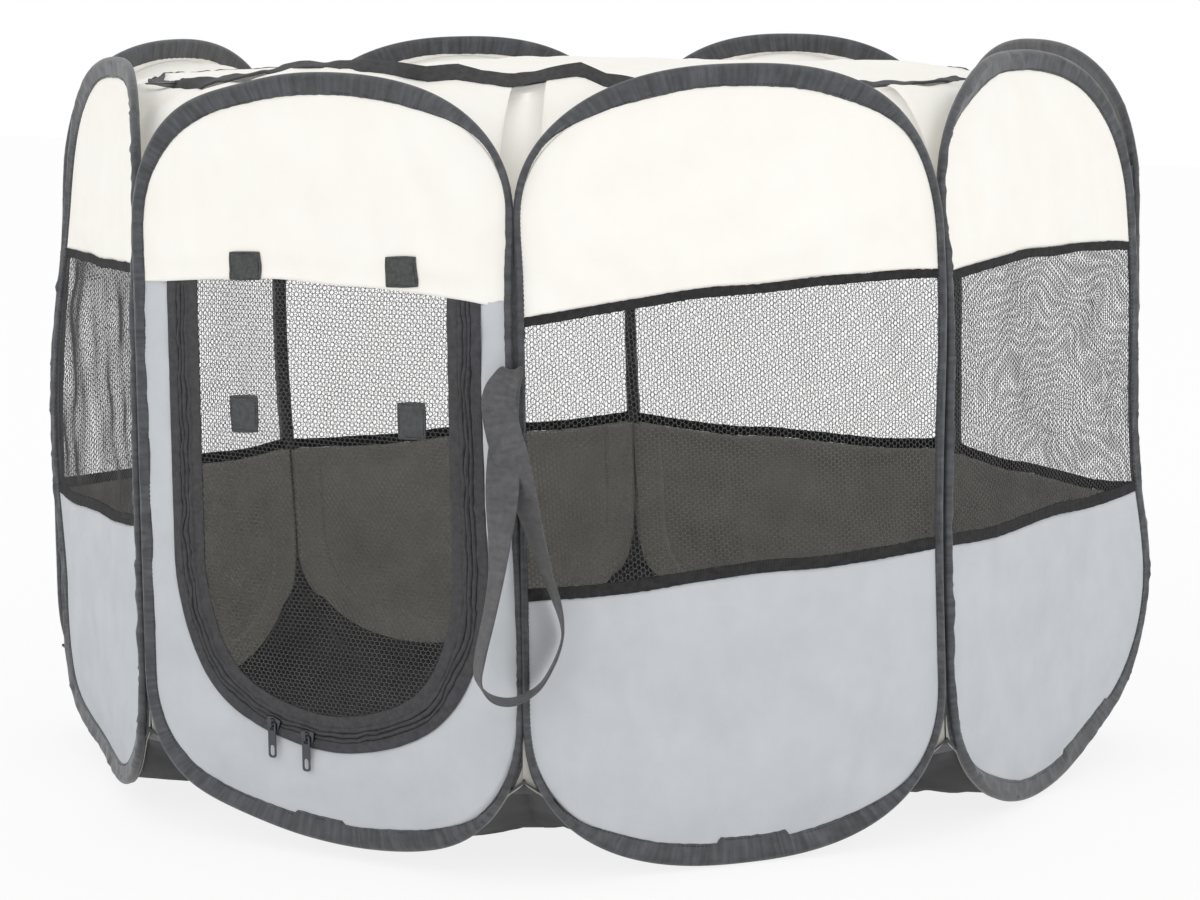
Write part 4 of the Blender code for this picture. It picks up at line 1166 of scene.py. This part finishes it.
# %% Roof
ROOF_MIDDLE = 556 * MM
ROOF_ZIP = 345 * MM
ROOF_TAPE = 13 * MM
ROOF_PULL_ANGLE = math.radians(-124)


# The zip's height over ROOF_MIDDLE, in millimetres, at angles in degrees round the roof
ROOF_WAVES = (
    (-180, 2), (-150, 3), (-124, 2), (-112, 6), (-107, 11), (-100, 18), (-94, 22), (-86, 22), (-81, 19),
    (-77, 15.5), (-73, 18),
    (-70, 13), (-66, 11), (-62, 15), (-58, 18), (-55, 10), (-50, 6), (-30, 3), (0, 2), (40, -3), (70, -6),
    (110, -8), (150, -6), (180, 2),
)


def roof_waver(angle):
    """How far the zip's line lies above or below the roof's middle height."""
    places, heights = zip(*ROOF_WAVES)
    degrees = np.degrees(np.mod(angle + math.pi, 2 * math.pi) - math.pi)
    near_pull = np.exp(-((degrees + 111) / 12) ** 2)
    crumpled = ripple(angle * ROOF_ZIP, 0 * angle, 801, 45 * MM, 1) * 2.5 * MM
    return np.interp(degrees, places, heights) * MM + near_pull * crumpled


# The tilt of the zip's tape in degrees, its outer edge down, at angles in degrees round the roof
TAPE_TILTS = ((-180, 10), (-130, 25), (-108, 32), (-90, 28), (-84, 40), (-78, 58), (-52, 62), (-40, 30),
              (0, 15), (180, 10))


def tape_lean(angle):
    """How the zip's tape lies at an angle: its share level and its share upright."""
    places, tilts = zip(*TAPE_TILTS)
    tilt = np.radians(np.interp(np.degrees(np.mod(angle + math.pi, 2 * math.pi) - math.pi), places,
                                tilts))
    tilt = tilt + ripple(angle * ROOF_ZIP, 0 * angle, 820, 90 * MM, 3) * 0.5
    return np.cos(tilt), -np.sin(tilt)


def sheet_edge(curve_centre, sign, steps):
    """The line inside the hoops' crowns or soles, wall by wall: world points."""
    inset = SLEEVE_EDGE + CLEARANCE
    turn = np.linspace(0, math.pi, steps)
    points = []
    for wall in WALLS:
        u = -np.cos(turn) * (HOOP_HALF - inset)
        z = curve_centre + sign * np.sin(turn) * (HOOP_CROWN - inset)
        points.append(on_wall(wall, u, z, -EDGE_PROUD - CLEARANCE))
    return np.concatenate(points)


def build_roof():
    edge = sheet_edge(CROWN_CENTRE, 1, 44)
    angle = np.arctan2(edge[:, 1], edge[:, 0])
    plan = edge[:, :2]
    direction = plan / np.linalg.norm(plan, axis=1)[:, None]
    level, upright = tape_lean(angle)
    inner = direction * (ROOF_ZIP + ROOF_TAPE * 0.42 * level)[:, None]
    shares = np.linspace(0, 1, 30) ** 0.9
    rows, flat = [], []
    for share in shares:
        spot = inner + (plan - inner) * share
        height = ROOF_MIDDLE + (edge[:, 2] - ROOF_MIDDLE) * share ** 1.8
        slack = ripple(spot[:, 0], spot[:, 1], 810, 90 * MM, 3) * 3.0 * MM * math.sin(math.pi * share)
        joined = roof_waver(angle) + ROOF_TAPE * 0.42 * upright
        rows.append(np.column_stack([spot, height + slack + joined * (1 - share) ** 1.5]))
        flat.append(spot)
    count = len(edge)
    ring = new_piece("roof_ring_cloth", np.stack(rows),
                     grid_faces(len(shares), count, closed_columns=True, flip=True),
                     [cream], np.stack(flat), CLOTH)
    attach(ring, "back")
    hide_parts("roof_ring")

    around = np.linspace(0, 2 * math.pi, 1080, endpoint=False)
    circle = np.column_stack([np.cos(around) * ROOF_ZIP, np.sin(around) * ROOF_ZIP,
                              ROOF_MIDDLE + roof_waver(around)])
    radial = np.column_stack([np.cos(around), np.sin(around), 0 * around])
    level, upright = tape_lean(around)
    across = radial * level[:, None] + np.array([0, 0, 1.0]) * upright[:, None]
    facing = np.cross(across, np.column_stack([-radial[:, 1], radial[:, 0], 0 * around]))
    ring_tape = tape("roof_zip_tape", circle, across, facing, ROOF_TAPE, 2.0 * MM, [zip_tape],
                     closed=True)
    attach(ring_tape, "back")
    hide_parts("roof_zip")

    rings = np.linspace(0, 1, 40)[1:]
    lid_points, lid_flat = [[0, 0, ROOF_MIDDLE]], [[0, 0]]
    steps = 180
    around = np.linspace(0, 2 * math.pi, steps, endpoint=False)
    for share in rings:
        level, upright = tape_lean(around)
        radius = share * (ROOF_ZIP - ROOF_TAPE * 0.42 * level)
        x, y = radius * np.cos(around), radius * np.sin(around)
        slack = ripple(x, y, 830, 200 * MM, 4) * 5 * MM * eased((1 - share) * 4)
        joined = roof_waver(around) - ROOF_TAPE * 0.42 * upright
        z = ROOF_MIDDLE + slack + joined * share ** 4 + 8 * MM * (1 - share ** 3)
        lid_points += np.column_stack([x, y, z]).tolist()
        lid_flat += np.column_stack([x, y]).tolist()
    faces = [(0, 1 + k, 1 + (k + 1) % steps) for k in range(steps)]
    ring_faces = grid_faces(len(rings), steps, closed_columns=True, flip=True)
    faces += [tuple(1 + corner for corner in face) for face in ring_faces]
    lid = new_piece("roof_lid_cloth", lid_points, faces, [cream], lid_flat, CLOTH)
    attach(lid, "roof_lid")
    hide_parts("roof_lid")
    return [ring, ring_tape, lid]


roof_pieces = build_roof()

# %% Roof: slider and pull
roof_height = ROOF_MIDDLE - 0.5 * MM + 1.2 * MM + CLEARANCE + SLIDER_SIZE[2]
roof_radius = ROOF_ZIP - ROOF_TAPE / 2 + SLIDER_SIZE[1] / 2
roof_spot = Vector((roof_radius * math.cos(ROOF_PULL_ANGLE), roof_radius * math.sin(ROOF_PULL_ANGLE),
                    roof_height))
lying = Matrix.Rotation(ROOF_PULL_ANGLE + math.pi / 2, 4, "Z") @ Matrix.Rotation(-math.pi / 2, 4, "X")
place = Matrix.Translation(roof_spot) @ lying
roof_pieces.append(small_metal("roof_zip_slider", slider_shape(0), place, 0.35 * MM, "roof_slider",
                               "roof_slider"))
hang = place @ Matrix.Translation((0, -1.1 * MM, 0))
roof_pieces.append(small_metal("roof_zip_pull", pull_shape(), hang, 0.3 * MM, "roof_pull", "roof_pull"))

# %% [markdown]
# The floor is a dark sheet that lies on the ground. Near the walls it rises into a gusset
# between each pair of hoops, and there the folds gather.

# %% Floor
FLOOR_INSET = 2.5 * MM


def floor_edge(steps):
    """The line where the floor's cloth meets the hoops: it comes to a point between two of them."""
    turn = np.linspace(0, math.pi, steps)
    half, high = HOOP_HALF - FLOOR_INSET, HOOP_CROWN - FLOOR_INSET
    u = -half * squarer(np.cos(turn))
    z = SOLE_CENTRE - high * squarer(np.sin(turn))
    corner = eased((z - GUSSET_TOP + 16 * MM) / (16 * MM))
    u = u + np.sign(u) * (WALL_PITCH / 2 - np.abs(u)) * corner
    z = np.minimum(z, GUSSET_TOP)
    return np.concatenate([on_wall(wall, u, z, -EDGE_PROUD - CLEARANCE) for wall in WALLS])


def build_floor():
    edge = floor_edge(44)
    shares = np.concatenate([np.linspace(0.04, 0.5, 14), np.linspace(0.53, 1, 26)])
    rows = []
    for share in shares:
        rise = max(0.0, (share - 0.55) / 0.45) ** 2.2
        x, y = edge[:, 0] * share, edge[:, 1] * share
        folds = np.abs(ripple(x, y, 840, 110 * MM, 4)) * 5 * MM * eased(share * 1.2) * (1 - share ** 8)
        rows.append(np.column_stack([x, y, 1.2 * MM + (edge[:, 2] - 1.2 * MM) * rise + folds]))
    count = len(edge)
    faces = grid_faces(len(shares), count, closed_columns=True, flip=True)
    faces.append(tuple(range(count)))
    points = np.stack(rows)
    floor = new_piece("floor_cloth", points, faces, [floor_cloth], points[..., :2], CLOTH)
    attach(floor, "back")
    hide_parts("floor_sheet")
    return floor


floor_piece = build_floor()
for piece in roof_pieces + [floor_piece]:
    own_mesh(piece)

# %% [markdown]
# Neighbouring hoops are sewn together along their straight sides. The join is a narrow dark tape
# in the corner between the two sleeves. On the real pen it bends when the pen folds; here it is one
# fixed strip from one wall on one side to the other wall on the other.

# %% Seams between the walls
def seam_tape(first, second, joined):
    """The sewn strip between the end of one wall and the start of the next."""
    z = np.linspace(GUSSET_TOP - 12 * MM, CROWN_CENTRE + 30 * MM, 60)
    below = np.clip((SOLE_CENTRE - z) / HOOP_CROWN, 0, 1)
    beside = HOOP_HALF * (1 - below ** HOOP_SQUARENESS) ** (1 / HOOP_SQUARENESS)
    a = on_wall(first, beside, z, -1.5 * MM)
    b = on_wall(second, -beside, z, -1.5 * MM)
    middle = (a + b) / 2
    inward = -middle * np.array([1, 1, 0])
    inward /= np.linalg.norm(inward, axis=1)[:, None]
    middle += inward * 0.4 * MM
    across = (b - a) / np.linalg.norm(b - a, axis=1)[:, None]
    made = tape(first + "_to_" + second + "_seam", middle, across, -inward, np.linalg.norm(b - a, axis=1),
                1.2 * MM, [binding])
    if joined:
        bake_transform(made)
    else:
        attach(made, second)


for number, wall in enumerate(WALLS):
    after = WALLS[(number + 1) % len(WALLS)]
    seam_tape(wall, after, not (wall == "left" and after == "front_left"))

# %% [markdown]
# The webbing loop hangs from the seam to the right of the door. Webbing is stiff across its
# width, so the loop is a flat band that twists as it swings round at the bottom.

# %% Webbing loop
STRAP_WIDTH, STRAP_THICKNESS = 25 * MM, 1.5 * MM
STRAP_TOP, STRAP_DROP, STRAP_REACH, STRAP_PROUD = 372 * MM, 231 * MM, 36 * MM, 18 * MM
# Shares of the reach, the drop and the stand-off, the turn away from the wall in degrees, and the
# share of the full width: the end that is sewn into the seam is folded narrow
STRAP_ROUTE = (
    (-0.16, 0, 0.08, 5, 0.6), (-0.33, 0.023, 0.27, 10, 0.75), (-0.50, 0.083, 0.42, 0, 1),
    (-0.43, 0.187, 0.58, 12, 1), (-0.22, 0.295, 0.69, 42, 1), (-0.03, 0.4, 0.75, 64, 1),
    (0.14, 0.495, 0.78, 76, 1), (0.33, 0.6, 0.78, 86, 1), (0.55, 0.7, 0.78, 93, 1),
    (0.66, 0.772, 0.78, 103, 1), (0.66, 0.828, 0.78, 110, 1), (0.50, 0.893, 0.78, 111, 1),
    (0.22, 0.958, 0.78, 112, 1), (-0.14, 0.992, 0.78, 112, 1), (-0.50, 1, 0.78, 110, 1),
    (-0.85, 0.98, 0.78, 104, 1), (-1.06, 0.928, 0.75, 97, 1), (-1.00, 0.85, 0.72, 92, 1),
    (-0.82, 0.741, 0.7, 90, 1), (-0.66, 0.62, 0.7, 84, 1), (-0.56, 0.495, 0.66, 68, 1),
    (-0.46, 0.343, 0.47, 38, 1), (-0.36, 0.19, 0.26, 16, 0.8), (-0.20, 0.075, 0.1, 5, 0.5),
    (-0.10, 0.02, 0.01, 0, 0.45),
)


def smooth_closed(values, count):
    """A smooth closed line through the rows of values, with that many points between two rows."""
    values = np.asarray(values, float)
    rows = []
    for index in range(len(values)):
        a, b, c, d = (values[(index + shift) % len(values)] for shift in (-1, 0, 1, 2))
        for step in range(count):
            t = step / count
            square = (2 * a - 5 * b + 4 * c - d) * t ** 2
            cube = (3 * b - a - 3 * c + d) * t ** 3
            rows.append(0.5 * (2 * b + (c - a) * t + square + cube))
    return np.array(rows)


def build_strap():
    wall = "front_right"
    route = smooth_closed(STRAP_ROUTE, 8)
    seat = SLEEVE_RIM + CLEARANCE + STRAP_THICKNESS / 2
    u = route[:, 0] * STRAP_REACH - WALL_PITCH / 2
    z = STRAP_TOP - STRAP_THICKNESS / 2 - route[:, 1] * STRAP_DROP
    middles = on_wall(wall, u, z, seat + route[:, 2] * STRAP_PROUD)
    ahead = np.roll(middles, -1, axis=0) - np.roll(middles, 1, axis=0)
    ahead /= np.linalg.norm(ahead, axis=1)[:, None]
    along3 = np.append(WALL_FRAMES[wall][1], 0)
    outward3 = np.append(WALL_FRAMES[wall][2], 0)
    turn = np.radians(route[:, 3])[:, None]
    level = along3 * np.cos(turn) + outward3 * np.sin(turn)
    across = level - ahead * (level * ahead).sum(axis=1)[:, None]
    across /= np.linalg.norm(across, axis=1)[:, None]
    facing = np.cross(ahead, across)
    widths = STRAP_WIDTH * route[:, 4]
    made = tape("webbing_loop", middles, across, facing, widths, STRAP_THICKNESS, [webbing], closed=True)
    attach(made, "strap")
    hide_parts("strap_loop")
    length = float(np.linalg.norm(np.roll(middles, -1, axis=0) - middles, axis=1).sum())
    print("webbing loop length", round(length, 3))


build_strap()

# %% [markdown]
# The studio is a white sweep with soft light from all round and one broad lamp from the upper
# left. The white behind the pen comes from the world and the floor themselves, not from more
# light on the pen.

# %% Stage
# How much of the floor that the camera sees is plain white; the rest keeps the pen's shadow
WHITE_SHARE = 0.84
stage, stage_tree, stage_shader = new_finish("white_paper_sweep", "#fdfdfd", 0.9)
stage_path = add_node(stage_tree, "ShaderNodeLightPath")
stage_seen = add_node(stage_tree, "ShaderNodeMath",
                      {0: stage_path.outputs["Is Camera Ray"], 1: stage_path.outputs["Is Glossy Ray"]},
                      operation="MAXIMUM")
stage_share = add_node(stage_tree, "ShaderNodeMath", {0: stage_seen.outputs[0], 1: WHITE_SHARE},
                       operation="MULTIPLY")
stage_white = add_node(stage_tree, "ShaderNodeEmission", {"Color": (1, 1, 1, 1), "Strength": 1.0})
stage_mix = add_node(stage_tree, "ShaderNodeMixShader",
                     {0: stage_share.outputs[0], 1: stage_shader.outputs[0], 2: stage_white.outputs[0]})
stage_tree.links.new(stage_mix.outputs[0], stage_tree.nodes["Material Output"].inputs["Surface"])
bpy.ops.mesh.primitive_plane_add(size=14, location=(0, 0, -0.5 * MM))
ground = bpy.context.object
ground.name = "ground"
ground.data.materials.append(stage)

world = bpy.data.worlds.new("studio")
bpy.context.scene.world = world
world.use_nodes = True
sky = world.node_tree
background = sky.nodes["Background"]
path = add_node(sky, "ShaderNodeLightPath")
seen = add_node(sky, "ShaderNodeMath", {0: path.outputs["Is Camera Ray"],
                                        1: path.outputs["Is Glossy Ray"]}, operation="MAXIMUM")
seen = add_node(sky, "ShaderNodeMath", {0: seen.outputs[0], 1: path.outputs["Is Transmission Ray"]},
                operation="MAXIMUM")
ROOM_LIGHT = 0.9
level = add_node(sky, "ShaderNodeMapRange", {"Value": seen.outputs[0], "To Min": ROOM_LIGHT,
                                             "To Max": 1.0})
background.inputs["Color"].default_value = (1, 1, 1, 1)
sky.links.new(level.outputs["Result"], background.inputs["Strength"])


def soft_lamp(name, place, aim, size, power):
    """A square lamp that faces a point."""
    lamp = bpy.data.lights.new(name, "AREA")
    lamp.size, lamp.energy = size, power
    made = bpy.data.objects.new(name, lamp)
    made.location = place
    made.rotation_euler = (Vector(aim) - Vector(place)).to_track_quat("-Z", "Y").to_euler()
    bpy.context.scene.collection.objects.link(made)


soft_lamp("key", (-1.0, -3.0, 2.2), (0, 0, 0.3), 1.6, 8)
soft_lamp("fill", (3.2, -1.2, 1.6), (0, 0, 0.3), 1.6, 10)

# %% [markdown]
# The photograph was taken from the front right with a long lens, so the camera stands 2.8 m away
# and looks slightly down.

# %% Camera
CAMERA_TURN = math.radians(31.99)
CAMERA_AWAY = 2.8196
CAMERA_HEIGHT = 0.6657
CAMERA_LENS = 102.82
CAMERA_TILT = math.radians(8.4389)
CAMERA_ROLL = math.radians(-0.64)
CAMERA_YAW = math.radians(0.2475)

camera = bpy.data.cameras.new("camera")
camera.lens = CAMERA_LENS
camera.sensor_width = 36
eye = bpy.data.objects.new("camera", camera)
bpy.context.scene.collection.objects.link(eye)
eye.location = (math.sin(CAMERA_TURN) * CAMERA_AWAY, -math.cos(CAMERA_TURN) * CAMERA_AWAY, CAMERA_HEIGHT)
tipped = Matrix.Rotation(math.pi / 2 - CAMERA_TILT, 4, "X")
turned = Matrix.Rotation(CAMERA_TURN - CAMERA_YAW, 4, "Z") @ tipped
eye.rotation_euler = (turned @ Matrix.Rotation(CAMERA_ROLL, 4, "Z")).to_euler()
bpy.context.scene.camera = eye
bpy.context.scene.view_settings.view_transform = "Standard"
